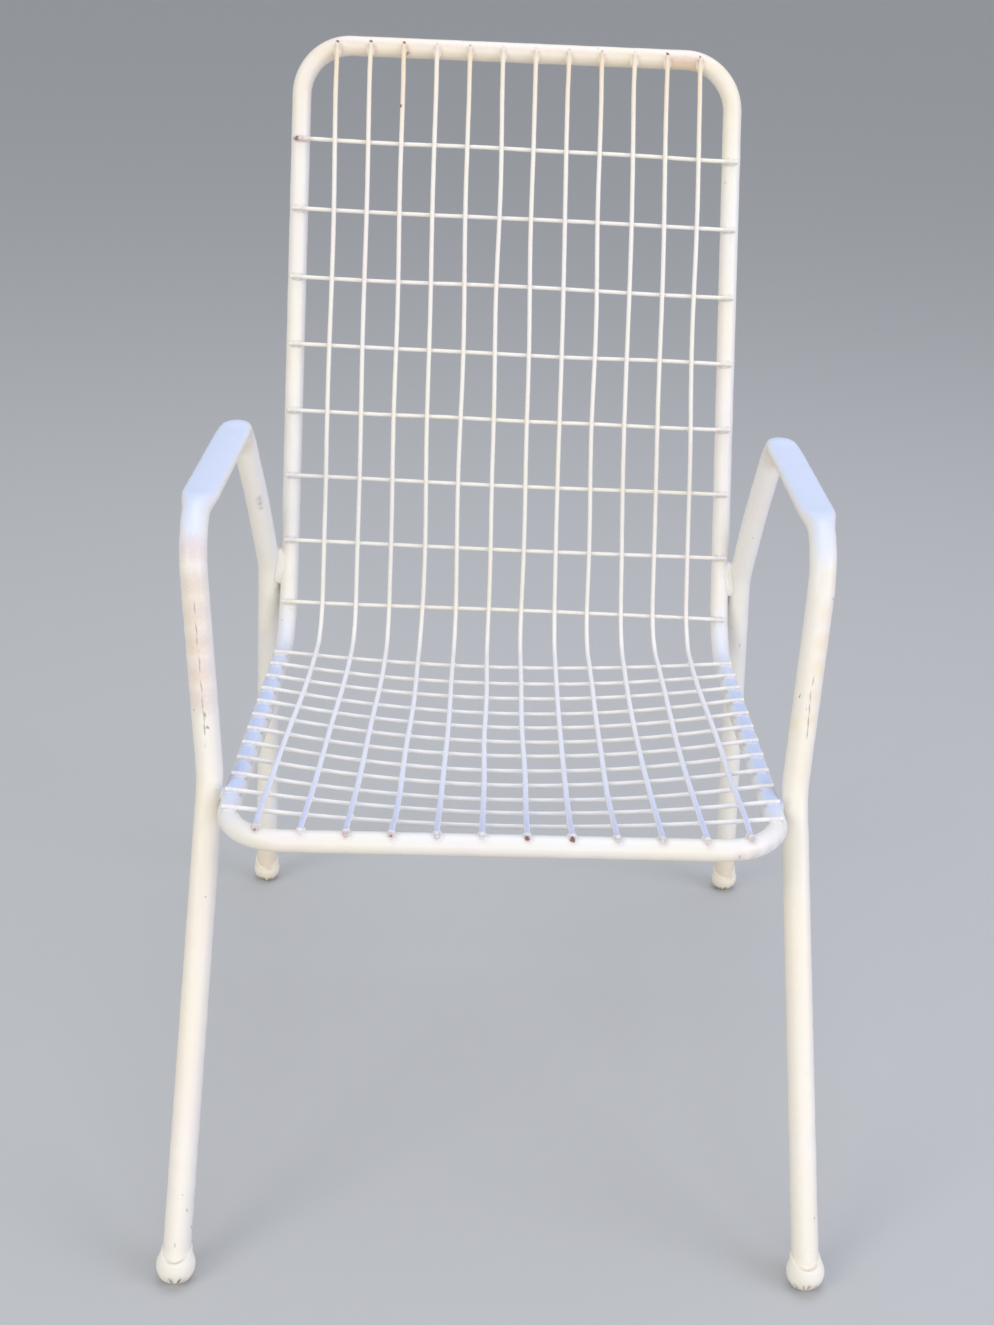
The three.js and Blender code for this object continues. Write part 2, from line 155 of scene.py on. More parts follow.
lens = bpy.data.cameras.new("camera")
lens.sensor_width = 36
lens.lens = lens.sensor_width * FOCAL_LENGTH / FRAME_HEIGHT
lens.shift_x = (FRAME_WIDTH / 2 - PICTURE_MIDDLE[0]) / FRAME_HEIGHT
lens.shift_y = (PICTURE_MIDDLE[1] - FRAME_HEIGHT / 2) / FRAME_HEIGHT
camera = new_object("camera", lens)
put(camera, camera_turn(CAMERA_YAW, CAMERA_PITCH, CAMERA_ROLL), CAMERA_PLACE)
bpy.context.scene.camera = camera
print("lens", round(lens.lens, 2), "mm")

# %% [markdown]
# ## Shader maths as plain expressions
# Old paint is several effects laid over one another, and each one is a number from 0 to 1 over
# the surface. Wiring Math nodes by hand hides that idea. A small class wraps a socket, so
# that `1 - mask` or `mask * noise` writes the nodes, and a second one makes every other node.


# %% A number that changes over a surface
class Amount:
    """A socket that carries a number, with the operators of arithmetic."""

    def __init__(self, finish, socket):
        self.finish = finish
        self.socket = socket

    def combined(self, operation, first, second):
        return self.finish.node("ShaderNodeMath", {"operation": operation}, {0: first, 1: second})

    def __add__(self, other):
        return self.combined("ADD", self, other)

    def __sub__(self, other):
        return self.combined("SUBTRACT", self, other)

    def __rsub__(self, other):
        return self.combined("SUBTRACT", other, self)

    def __mul__(self, other):
        return self.combined("MULTIPLY", self, other)

    __radd__ = __add__
    __rmul__ = __mul__


# %% The maker of nodes
class Finish:
    """A node tree under construction, of a material or of the sky."""

    def __init__(self, owner):
        owner.use_nodes = True
        self.owner = owner
        self.tree = owner.node_tree
        self.tree.nodes.clear()

    def node(self, kind, settings=None, sockets=None, output=0):
        """Makes any node, sets it, fills or links its sockets and hands back one of its outputs."""
        made = self.tree.nodes.new(kind)
        for key, value in (settings or {}).items():
            setattr(made, key, value)
        for key, value in (sockets or {}).items():
            if isinstance(value, Amount):
                self.tree.links.new(value.socket, made.inputs[key])
            else:
                made.inputs[key].default_value = value
        return Amount(self, made.outputs[output]) if len(made.outputs) else made

    def attribute(self, name, output="Fac"):
        return self.node("ShaderNodeAttribute", {"attribute_name": name}, output=output)

    def noise(self, vector, scale, detail=3.0, roughness=0.5):
        values = {"Vector": vector, "Scale": scale, "Detail": detail, "Roughness": roughness}
        return self.node("ShaderNodeTexNoise", {"normalize": True}, values)

    def between(self, amount, low, high):
        """0 below low, 1 above high and a smooth step from one to the other."""
        sockets = {"Value": amount, "From Min": low, "From Max": high}
        return self.node("ShaderNodeMapRange", {"interpolation_type": "SMOOTHSTEP"}, sockets)

    def larger(self, first, second):
        return self.node("ShaderNodeMath", {"operation": "MAXIMUM"}, {0: first, 1: second})

    def stretched(self, vector, scale):
        return self.node("ShaderNodeVectorMath", {"operation": "MULTIPLY"}, {0: vector, 1: scale})

    def layered(self, color, coats):
        """Coats laid over a color one after another, each told as its share and its own color."""
        settings = {"data_type": "RGBA", "clamp_factor": True}
        for share, coat in coats:
            color = self.node("ShaderNodeMix", settings, {0: share, 6: color, 7: coat}, output=2)
        return color

    def surface(self, sockets, height=None, strength=0.0, distance=0.0):
        """The shader and the output node that end a material, with a bump if a height is given."""
        if height is not None:
            bump = {"Strength": strength, "Distance": distance, "Height": height}
            sockets = {**sockets, "Normal": self.node("ShaderNodeBump", {}, bump)}
        shader = self.node("ShaderNodeBsdfPrincipled", {}, sockets)
        self.node("ShaderNodeOutputMaterial", {}, {"Surface": shader})


def rgba(red, green, blue):
    return (red, green, blue, 1.0)


# %% [markdown]
# ## Floor and light
# The chair is shown on a plain pale floor. Soft studio light is four large lamps and a pale sky
# all round: a warm lamp in front on the left, as the daylight in the photograph falls, a bluish
# one on the right, a weak cool one above, and a wide low one far in front, which reaches the
# lower halves of the rails. The sum is kept at a level at which the paint shows about the color
# that it is given. The camera and reflections see a sky of the floor's own grey.

# %% Floor
FLOOR_REACH = 30.0
floor_finish = Finish(bpy.data.materials.new("pale floor"))
floor_finish.surface(
    {"Base Color": rgba(0.52, 0.525, 0.53), "Roughness": 0.85, "Specular IOR Level": 0.2})
floor_mesh = bpy.data.meshes.new("floor")
floor_corners = FLOOR_REACH * np.array([[-1, -1, 0], [1, -1, 0], [1, 1, 0], [-1, 1, 0]])
floor_mesh.from_pydata(floor_corners.tolist(), [], [(0, 1, 2, 3)])
floor_mesh.materials.append(floor_finish.owner)
floor = new_object("floor", floor_mesh)

# %% Sky
bpy.context.scene.view_settings.view_transform = "Standard"
world = bpy.data.worlds.new("studio")
bpy.context.scene.world = world
sky = Finish(world)
seen = sky.node("ShaderNodeBackground", {}, {"Color": rgba(0.56, 0.565, 0.57)})
lighting = sky.node(
    "ShaderNodeBackground", {}, {"Color": rgba(0.88, 0.92, 1.0), "Strength": 0.58})
to_camera, to_gloss = (
    sky.node("ShaderNodeLightPath", output=ray) for ray in ("Is Camera Ray", "Is Glossy Ray"))
chosen = sky.node(
    "ShaderNodeMixShader", {}, {0: sky.larger(to_camera, to_gloss), 1: lighting, 2: seen})
sky.node("ShaderNodeOutputWorld", {}, {"Surface": chosen})


# %% Lamps
def soft_lamp(name, spot, target, size, watts, color):
    """An area lamp at a spot, upright, with its back axis along the line from the target to it."""
    light = bpy.data.lights.new(name, "AREA")
    light.shape = "RECTANGLE"
    light.size, light.size_y = size
    light.energy = watts
    light.color = color
    back = unit(np.array(spot, float) - np.array(target, float))
    right = unit(np.cross([0.0, 0.0, 1.0], back))
    put(new_object(name, light), np.stack([right, np.cross(back, right), back], axis=1), spot)


soft_lamp("key lamp", (-4.4, -3.8, 3.9), (0, 0, 0.5), (2.9, 2.9), 104, (1.0, 0.97, 0.90))
soft_lamp("top lamp", (0.2, 0.5, 3.0), (0, 0, 0.5), (2.0, 2.0), 24, (0.90, 0.95, 1.0))
soft_lamp("side lamp", (3.9, -2.1, 2.1), (0, 0, 0.5), (2.7, 2.7), 80, (0.84, 0.84, 1.0))
soft_lamp("low lamp", (0.0, -6.8, 1.60), (0, 0, 0.45), (7.5, 1.9), 142, (1.0, 0.96, 0.88))

# %% [markdown]
# ## From rings of points to a closed skin
# Every tube, wire, weld and cap here is a closed skin over rings of points. The points are
# worked out as whole arrays: one axis runs along the piece, one runs round it. Faces join
# neighbouring rings, and each end closes on one middle point, so no piece has a hole in it.


# %% Faces over rings
def skins(rings):
    """Many closed skins at once. `rings` is (pieces, rings, sides, 3), each ring counter-clockwise
    seen against the travel. Quads join the rings, and fans close the two ends on their middles."""
    pieces, count, sides = rings.shape[:3]
    index = np.arange(pieces * count * sides).reshape(pieces, count, sides)
    ahead = np.roll(index, -1, axis=2)
    quads = np.stack([index[:, :-1], ahead[:, :-1], ahead[:, 1:], index[:, 1:]], axis=-1)
    poles = pieces * count * sides + np.arange(2 * pieces).reshape(2, pieces, 1)
    poles = np.broadcast_to(poles, (2, pieces, sides))
    start = np.stack([poles[0], ahead[:, 0], index[:, 0]], axis=-1)
    end = np.stack([poles[1], index[:, -1], ahead[:, -1]], axis=-1)
    middles = np.concatenate([rings[:, 0].mean(axis=1), rings[:, -1].mean(axis=1)])
    points = np.concatenate([rings.reshape(-1, 3), middles])
    triangles = np.concatenate([start.reshape(-1, 3), end.reshape(-1, 3)])
    return points, quads.reshape(-1, 4).tolist() + triangles.tolist()


def ring_loop(rings):
    """One skin whose last ring joins its first one, as a loop of tube does."""
    count, sides = rings.shape[:2]
    index = np.arange(count * sides).reshape(count, sides)
    around = np.roll(index, -1, axis=1)
    corners = [index, around, np.roll(around, -1, axis=0), np.roll(index, -1, axis=0)]
    return rings.reshape(-1, 3), np.stack(corners, axis=-1).reshape(-1, 4).tolist()


# %% Smooth steps
def smooth(share):
    """0 up to 0, 1 from 1 on, and between them three times the square less twice the cube."""
    share = np.clip(share, 0, 1)
    return share * share * (3 - 2 * share)


def faded(distance, reach):
    """1 at no distance, 0 from the reach on, falling smoothly between them."""
    return smooth(1 - distance / reach)


# %% Arrays to a Blender object
SKY_SPAN = 0.7
PAINTED_SIDE_SKY, PAINTED_SIDE_SKY_FROM = 0.30, 0.4


def add_piece(name, points, faces, finish, slot, node=None, painted_sky_share=1.0, painted_sky_from=0.25, **amounts):
    """A smooth object at the origin that rides on the chair, with one named number per point for
    each effect, or none. `sky` is painted light, not a color of the paint: a bluish painted sky
    reflection, by a given share of how far the surface faces up, from a given start on, or a
    bluish painted light by how far it faces right, if that is more. `beside` is the distance to
    a scratch, far off where there is none."""
    mesh = bpy.data.meshes.new(name)
    mesh.from_pydata(points.tolist(), [], faces)
    mesh.polygons.foreach_set("use_smooth", np.ones(len(mesh.polygons), bool))
    normals = np.empty(len(points) * 3)
    mesh.vertex_normals.foreach_get("vector", normals)
    right, _, up = normals.reshape(-1, 3).T
    # painted sky reflection on faces turned up, and bluish painted light on faces turned right
    upward = painted_sky_share * np.clip((up - painted_sky_from) / SKY_SPAN, 0, 1)
    sideways = PAINTED_SIDE_SKY * np.clip((right - PAINTED_SIDE_SKY_FROM) / (1 - PAINTED_SIDE_SKY_FROM), 0, 1)
    none = {effect: np.zeros(len(points)) for effect in ("rust", "grime", "aged", "scuff")}
    amounts = {"run": points, "beside": np.ones(len(points)), **none, **amounts,
               "sky": np.maximum(upward, sideways)}
    for key, values in amounts.items():
        kind, field = ("FLOAT", "value") if np.ndim(values) == 1 else ("FLOAT_VECTOR", "vector")
        layer = mesh.attributes.new(key, kind, "POINT")
        layer.data.foreach_set(field, np.ascontiguousarray(values, dtype=np.float32).ravel())
    mesh.materials.append(finish.owner)
    mesh.update()
    made = new_object(name, mesh)
    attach(made, "root")
    if node:
        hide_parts(node)
    size = points.max(axis=0) - points.min(axis=0)
    print(name, len(faces), "faces,", tuple(np.round(size, 4).tolist()), "m")


# %% [markdown]
# ## Carrying a section along a line
# A tube is a section carried along a line. The line is a list of stations, and at each one the
# section needs two directions square to the travel. Taking one fixed direction, such as
# straight across the chair, and making it square to the travel keeps the section from twisting,
# which a frame that turns with the curve would not.


# %% Lines and frames
STATION_STEP = 0.002


def walked_to(points):
    """The distance walked from the first station to each one."""
    return np.concatenate([[0.0], np.cumsum(np.linalg.norm(np.diff(points, axis=0), axis=1))])


def evenly(points):
    """The same line with even stations, every column read off at the distance walked."""
    walked = walked_to(points[:, :3])
    stations = np.linspace(0, walked[-1], int(round(walked[-1] / STATION_STEP)) + 1)
    return np.stack([np.interp(stations, walked, column) for column in points.T], axis=1)


def softened(values, spread):
    """Values blurred by a bell curve, and mirrored through both ends so that the ends stay."""
    reach = int(3 * spread)
    weights = np.exp(-0.5 * (np.arange(-reach, reach + 1) / spread) ** 2)
    before = 2 * values[0] - values[reach:0:-1]
    after = 2 * values[-1] - values[-2:-reach - 2:-1]
    return np.convolve(np.concatenate([before, values, after]), weights / weights.sum(), "valid")


def square_frames(line, reference, loop=False):
    """Two directions square to the travel from neighbour to neighbour: the reference less its
    part along the travel, and the cross product of the two."""
    wrapped = np.concatenate([line[-1:], line, line[:1]]) if loop else line
    travel = np.gradient(wrapped, axis=0)
    travel = unit(travel[1:-1] if loop else travel)
    side = unit(reference - (reference * travel).sum(axis=1, keepdims=True) * travel)
    return side, np.cross(travel, side)


# %% Uneven paint and the section itself
LUMP_WAVES, LUMP_LENGTHS = 10, (0.009, 0.07)
ROOM_FOR_LUMPS = 2.6
FLAT_SHARE = 1.7


def brushed_lumps(walked, angles, depth, seed, loop_length=None):
    """Height of brushed paint: a sum of waves along the tube, each with a whole number of turns
    round it, and on a loop a whole number of lengths in it, so that the surface closes."""
    rng = np.random.default_rng(seed)
    height = np.zeros((len(walked), len(angles)))
    for _ in range(LUMP_WAVES):
        length, turns = rng.uniform(*LUMP_LENGTHS), rng.integers(-3, 4)
        length = loop_length / round(loop_length / length) if loop_length else length
        start = rng.uniform(0, 2 * math.pi)
        height += np.sin(2 * math.pi * walked[:, None] / length + turns * angles + start)
    return depth * height / 3


def tube_rings(line, reference, half_width, half_height, sides, depth, seed, loop=False):
    """Rings of a flat-sided oval: a circle whose points are moved apart by up to width less
    height. Its radius is the half height less room for the lumps, so that they stay inside the
    true surface. Also gives each point's place along and round the tube."""
    side, rise = square_frames(line, reference, loop)
    angles = 2 * math.pi * (np.arange(sides) + 0.5) / sides
    walked = walked_to(line)
    half_width = np.broadcast_to(half_width, len(line))[:, None]
    half_height = np.broadcast_to(half_height, len(line))[:, None]
    loop_length = walked[-1] + np.linalg.norm(line[0] - line[-1]) if loop else None
    lumps = brushed_lumps(walked, angles, depth, seed, loop_length)
    radius = half_height - ROOM_FOR_LUMPS * depth + lumps
    apart = np.clip(FLAT_SHARE * np.cos(angles), -1, 1) * (half_width - half_height)
    across = apart + radius * np.cos(angles)
    upward = radius * np.sin(angles)
    rings = line[:, None] + across[..., None] * side[:, None] + upward[..., None] * rise[:, None]
    run = np.stack(np.broadcast_arrays(walked[:, None], across, upward), axis=-1)
    return rings, run


def closed_run(run):
    """The places of a closed tube's points: its two end middles get the mean of their ring."""
    return np.concatenate([run.reshape(-1, 3), run[[0, -1]].mean(axis=1)])


# %% [markdown]
# ## Where rust, dirt and painted shade gather
# Rust starts where paint is thin and water stands: at the cut ends of the wires, and where two
# pieces touch. The same marks also paint shade and shadow there: grey where wires lie on the
# rails, and pink-brown beside the columns on the top rail. Each such place is written as a
# point on the chair, a reach and a strength, and every piece asks how near its own surface
# comes to them. The shader then breaks up the edges.


# %% Marks on a surface
def mark(point, reach, strength):
    return [*point, reach, strength]


def marks_on(points, spots):
    """The strongest mark at each point: spots are rows of x, y, z, reach and strength."""
    spots = np.asarray(spots, float).reshape(-1, 5)
    amount = np.zeros(len(points))
    for chunk in np.array_split(spots, max(len(spots) // 8, 1)):
        away = np.linalg.norm(points[:, None] - chunk[None, :, :3], axis=2)
        amount = np.maximum(amount, (faded(away, chunk[:, 3]) * chunk[:, 4]).max(axis=1))
    return amount


# %% [markdown]
# ## Old enamel
# The chair has been painted by hand more than once. The paint is a cream white that has
# yellowed in patches and looks faintly pink in others, slightly lumpy, with fine brush lines
# along the tubes. It has chips down to grey primer and metal, mostly long narrow scuffs on the
# legs, and brown rust spots with a pinkish halo. Each effect is a mask over the base color, and
# chips also change the roughness and the height of the surface.


# %% The enamel's color
def enamel_color(enamel, where, painted_sky_color, aged, grime, halo, core, bare):
    """Cream in patches, then a bluish painted sky reflection, then one coat for each kind of wear,
    some of which also carry painted shade and painted warm light.
    """
    patches = enamel.between(enamel.noise(where, 7.0), 0.38, 0.66)
    blush = enamel.between(enamel.noise(where, 11.0, 4.0), 0.46, 0.70)
    painted_sky_amount = enamel.attribute("sky")
    return enamel.layered(rgba(0.85, 0.82, 0.76), [
        (patches, rgba(0.86, 0.81, 0.70)),
        (blush * 0.5, rgba(0.86, 0.77, 0.74)),
        # bluish painted sky reflection, then a deeper blue painted shade where it is strongest
        (painted_sky_amount * 0.85, painted_sky_color),
        (enamel.between(painted_sky_amount, 1.0, 1.6), rgba(0.44, 0.51, 0.84)),
        # yellow: yellowed paint, and painted warm light on the lower halves of the top and front
        # rails
        (aged * 0.75, rgba(0.82, 0.66, 0.44)),
        # grey: dirt, and painted shade where wires lie on the rails and under the wire ends on the
        # front rail
        (grime * 0.8, rgba(0.40, 0.36, 0.38)),
        # pink-brown: rust halos, also the painted shadows beside the columns and the pink painted
        # reflection on the top rail
        (halo * 0.6, rgba(0.62, 0.42, 0.40)),
        (core, rgba(0.20, 0.13, 0.12)),
        (bare, rgba(0.44, 0.40, 0.34)),
    ])


# %% The enamel's chips and scratches
SCRATCH_HALF_WIDTH, SCRATCH_WANDER = 0.0006, 0.004


def bare_places(enamel, where, chip_share):
    """Where the paint is gone: chips are peaks of a stretched noise, lifted by scuffs, and a
    scratch is a thin wandering line, broken up by a second noise."""
    scuff = enamel.attribute("scuff")
    flecks = enamel.noise(enamel.stretched(where, (1.0, 1.0, 0.30)), 230.0, 2.0, 0.6)
    crowds = enamel.between(enamel.noise(where, 16.0), 0.50, 0.70)
    wear = flecks + crowds * 0.07 + scuff * 0.31
    chips = enamel.between(wear, chip_share, chip_share + 0.06)
    wander = (enamel.noise(where, 60.0, 2.0) - 0.5) * SCRATCH_WANDER
    off_line = (enamel.attribute("beside") + wander) * (1 / SCRATCH_HALF_WIDTH)
    gaps = enamel.noise(enamel.stretched(where, (240.0, 240.0, 60.0)), 1.0, 2.0)
    line = 1 - enamel.between(off_line * off_line, 0.2, 1.6)
    line = line * enamel.between(gaps, 0.30, 0.48) * enamel.between(scuff, 0.05, 0.50)
    return enamel.larger(chips, 0.9 * line)


# %% The enamel's height and shader
def make_enamel(name, chip_share, painted_sky_color):
    """Masks first, then color, roughness and height from them."""
    enamel = Finish(bpy.data.materials.new(name))
    where = enamel.node("ShaderNodeTexCoord", output="Object")
    fine = enamel.noise(where, 420.0, 2.0)
    bare = bare_places(enamel, where, chip_share)
    rust = enamel.attribute("rust")
    halo = enamel.between(rust + fine * 0.3, 0.34, 0.96)
    core = enamel.between(rust + fine * 0.45, 0.86, 1.06)
    grime = enamel.attribute("grime") * (0.35 + 0.65 * enamel.between(fine, 0.30, 0.62))
    cloudy = enamel.between(enamel.noise(where, 30.0), 0.20, 0.60)
    aged = enamel.attribute("aged") * (0.65 + 0.35 * cloudy)
    brush_place = enamel.stretched(enamel.attribute("run", "Vector"), (60.0, 1500.0, 1500.0))
    brush = enamel.noise(brush_place, 1.0, 2.0)
    orange_peel = enamel.noise(where, 900.0, 2.0)
    enamel.surface({
        "Base Color": enamel_color(enamel, where, painted_sky_color, aged, grime, halo, core, bare),
        "Roughness": 0.36 + fine * 0.10 + bare * 0.35 + core * 0.4 + grime * 0.2,
    }, brush * 0.30 + orange_peel * 0.12 - bare * 0.9 - core * 0.7, 0.35, 0.0004)
    return enamel


# the last color of each is the blue of the painted sky reflection
tube_enamel = make_enamel("old enamel on tube", 0.765, rgba(0.60, 0.69, 0.93))
wire_enamel = make_enamel("old enamel on wire", 0.81, rgba(0.84, 0.86, 0.96))
print("enamel nodes:", len(tube_enamel.tree.nodes), len(wire_enamel.tree.nodes))

# %% [markdown]
# ## The hoop
# The hoop is one 20 mm tube bent to a rounded rectangle in the flat and then bent once between
# seat and back. It could be a curve object with a bevel, but the real one is drawn in the flat
# too, so its middle line is laid out there, corner by corner, and `place` bends it.

# %% The hoop's middle line
HOOP_RADIUS = 0.010
TOP_CORNER_START = HOOP_LENGTH - TOP_CORNER_RADIUS


def hoop_half_width(along):
    return width_at(along, HOOP_HALF_WIDTHS)


def hoop_outline():
    """Half the outline in the flat: front, side and top rail, with quarter circles between."""
    angles = np.radians(np.arange(0, 91, 3))
    rising, falling = 1 - np.cos(angles), 1 - np.sin(angles)
    front_x = hoop_half_width(FRONT_CORNER_RADIUS) - FRONT_CORNER_RADIUS * falling
    front_along = FRONT_CORNER_RADIUS * rising
    side_step = 2 * STATION_STEP
    side_along = np.arange(FRONT_CORNER_RADIUS + side_step, TOP_CORNER_START, side_step)
    top_x = hoop_half_width(TOP_CORNER_START) - TOP_CORNER_RADIUS * rising
    top_along = HOOP_LENGTH - TOP_CORNER_RADIUS * falling
    x = np.concatenate([[0], front_x, hoop_half_width(side_along), top_x, [0]])
    along = np.concatenate([[0], front_along, side_along, top_along, [HOOP_LENGTH]])
    return x, along


half_x, half_along = hoop_outline()
flat_hoop = evenly(np.stack([
    np.concatenate([half_x, -half_x[-2::-1]]),
    np.concatenate([half_along, half_along[-2::-1]]),
    np.zeros(2 * len(half_x) - 1),
], axis=1))[:-1]
hoop_line = place(flat_hoop[:, 0], flat_hoop[:, 1], 0.0)
print("hoop tube:", round(walked_to(hoop_line)[-1], 3), "m long")

# %% [markdown]
# ## Where the wires lie
# The grid is welded flat before it is bent: eight rows across the back and twelve across the
# seat lie on the rails, and twelve columns lie on the rows and end on the front and top rails.
# On the seat the wires have sagged under years of sitting, most near the middle. Each wire is
# also a little crooked, which keeps the grid from looking drawn with a ruler.

# %% Sizes of the grid
COLUMN_RADIUS, ROW_RADIUS = 0.0026, 0.0023
COLUMN_COUNT, BACK_ROW_COUNT, SEAT_ROW_COUNT = 12, 8, 12
COLUMN_INSIDE_RAILS = (0.030, 0.0395, 0.0365)
COLUMN_OVER_FRONT_RAIL, COLUMN_OVER_TOP_RAIL, ROW_OVER_RAIL = 0.002, 0.0025, 0.005
RAIL_TOUCH = 0.006
TOP_ROW_BELOW_RAIL, BACK_ROW_PITCH = 0.098, 0.070
FIRST_SEAT_ROW, SEAT_ROW_PITCH = 0.041, 0.035
back_rows = HOOP_LENGTH - TOP_ROW_BELOW_RAIL - BACK_ROW_PITCH * np.arange(BACK_ROW_COUNT)
seat_rows = FIRST_SEAT_ROW + SEAT_ROW_PITCH * np.arange(SEAT_ROW_COUNT)
WELD_SINK = 0.0004
ROW_LIFT = HOOP_RADIUS + ROW_RADIUS - WELD_SINK
COLUMN_LIFT = ROW_LIFT + ROW_RADIUS + COLUMN_RADIUS - WELD_SINK
COLUMN_END_LIFT = HOOP_RADIUS + COLUMN_RADIUS - WELD_SINK
SAG_DEPTH, SAG_MIDDLE, SAG_REACH = 0.024, 0.227, 0.247
sag_places = np.concatenate([seat_rows[::2], seat_rows[-1:], [BEND_END]])


# %% Rails in the flat
def round_fall(past, radius):
    """How far a quarter circle falls back, `past` its start: its radius less its height."""
    inside = np.clip(past, 0, radius)
    return radius - np.sqrt(radius ** 2 - inside ** 2)


def front_rail_along(x):
    start = hoop_half_width(FRONT_CORNER_RADIUS) - FRONT_CORNER_RADIUS
    return round_fall(np.abs(x) - start, FRONT_CORNER_RADIUS)


def top_rail_along(x):
    start = hoop_half_width(TOP_CORNER_START) - TOP_CORNER_RADIUS
    return HOOP_LENGTH - round_fall(np.abs(x) - start, TOP_CORNER_RADIUS)


def side_rail_x(along):
    front_fall = round_fall(FRONT_CORNER_RADIUS - along, FRONT_CORNER_RADIUS)
    top_fall = round_fall(along - TOP_CORNER_START, TOP_CORNER_RADIUS)
    return hoop_half_width(along) - front_fall - top_fall


# %% The sag and the drift
DRIFT_WAVES, DRIFT_LENGTHS = 3, (0.16, 0.6)


def sag(along, x):
    """Depth under the rails: a flat-bottomed hump along the seat, times a parabola across it."""
    full = SAG_DEPTH * np.clip(1 - (np.abs(sag_places - SAG_MIDDLE) / SAG_REACH) ** 3, 0, None)
    share = np.clip(1 - (x / side_rail_x(along)) ** 2, 0, 1)
    return np.interp(along, sag_places, full) * share


def column_x(index, along):
    reach = np.array(HOOP_HALF_WIDTHS) - np.array(COLUMN_INSIDE_RAILS)
    return (2 * index / (COLUMN_COUNT - 1) - 1) * width_at(along, reach)


def crookedness(walked, depth, seed):
    """A slow sideways drift: the mean of a few long waves with their own lengths and starts."""
    rng = np.random.default_rng(seed)
    drift = np.zeros(len(walked))
    for _ in range(DRIFT_WAVES):
        turns = walked / rng.uniform(*DRIFT_LENGTHS)
        drift += np.sin(2 * math.pi * turns + rng.uniform(0, 2 * math.pi))
    return depth * drift / DRIFT_WAVES


# %% [markdown]
# ## Columns and rows
# A cut wire end under paint is slightly rounded. So three more stations are added at each end,
# over which the radius shrinks by a quarter circle, and the fan closes what is left. Bends
# are rounded by blurring the lift along the wire, which keeps it touching each row.


# %% Wire lines
BLUR_STATIONS = 3.0
COLUMN_DRIFT, ROW_DRIFT, DRIFT_EASE = 0.0012, 0.0008, 0.05
TOP_LIFT_SHARE = 0.67
BACK_ROW_SLOPE, LOW_ROW_DROOP = 0.013, 0.003


def with_round_ends(line, radius, edge):
    """The line with three stations more at each end, at the sines and cosines of 30, 60 and 90
    degrees."""
    angles = np.radians([30.0, 60.0, 90.0])
    before = line[0] + unit(line[0] - line[1]) * (edge * np.sin(angles[::-1]))[:, None]
    after = line[-1] + unit(line[-1] - line[-2]) * (edge * np.sin(angles))[:, None]
    shrunk = radius - edge * (1 - np.cos(angles))
    radii = np.concatenate([shrunk[::-1], np.full(len(line), radius), shrunk])
    return np.concatenate([before, line, after]), radii


def column_line(index):
    """Knots at the rails and rows, joined and then blurred, with a slow drift sideways."""
    front = front_rail_along(column_x(index, 0.0))
    top = top_rail_along(column_x(index, HOOP_LENGTH)) - RAIL_TOUCH
    knots = [front - COLUMN_OVER_FRONT_RAIL, front + COLUMN_OVER_FRONT_RAIL, *seat_rows,
             BEND_END, back_rows[0], (back_rows[0] + top) / 2, top,
             top + RAIL_TOUCH + COLUMN_OVER_TOP_RAIL]
    on_rows = COLUMN_LIFT - sag(seat_rows, column_x(index, seat_rows))
    near_top = COLUMN_END_LIFT + (COLUMN_LIFT - COLUMN_END_LIFT) * TOP_LIFT_SHARE
    lifts = [COLUMN_END_LIFT, COLUMN_END_LIFT, *on_rows, COLUMN_LIFT, COLUMN_LIFT,
             near_top, COLUMN_END_LIFT, COLUMN_END_LIFT]
    along = np.arange(knots[0], knots[-1], STATION_STEP)
    lift = softened(np.interp(along, knots, lifts), BLUR_STATIONS)
    ease = faded(np.minimum(along - along[0], along[-1] - along), DRIFT_EASE)
    drift = crookedness(along, COLUMN_DRIFT, 100 + index) * (1 - ease)
    return place(column_x(index, along) + drift, along, lift)


def row_line(along, seed, slope, droop):
    """Straight across in the flat, following the sag under every column, with a slow drift."""
    end = side_rail_x(along) + ROW_OVER_RAIL
    x = np.linspace(-end, end, int(2 * end / STATION_STEP))
    lift = softened(ROW_LIFT - sag(along, x), BLUR_STATIONS)
    askew = slope * x + droop * np.clip(x / end, 0, 1) ** 2
    return place(x, along + crookedness(x + end, ROW_DRIFT, seed) - askew, lift)


columns = [column_line(index) for index in range(COLUMN_COUNT)]
row_places = [(f"back_row_wire_{index + 1:02d}", along) for index, along in enumerate(back_rows)]
row_places += [(f"seat_row_wire_{index + 1:02d}", along) for index, along in enumerate(seat_rows)]
rows = [row_line(along, 200 + number, BACK_ROW_SLOPE * (number < BACK_ROW_COUNT),
                 LOW_ROW_DROOP * (number == BACK_ROW_COUNT - 1))
        for number, (_, along) in enumerate(row_places)]
print("wire:", round(sum(walked_to(each)[-1] for each in columns + rows), 2), "m in the grid")

# %% [markdown]
# ## Rust spots and painted shadows
# On the real chair every column has a dark pin spot where it was welded to the top rail and to
# the front rail. Some have bled pink and brown into the paint, others are only grey lumps. One
# row has a red-brown smear on its left end, and the paint between the two columns at the right
# end of the top rail has turned orange. The strengths are given column by column.

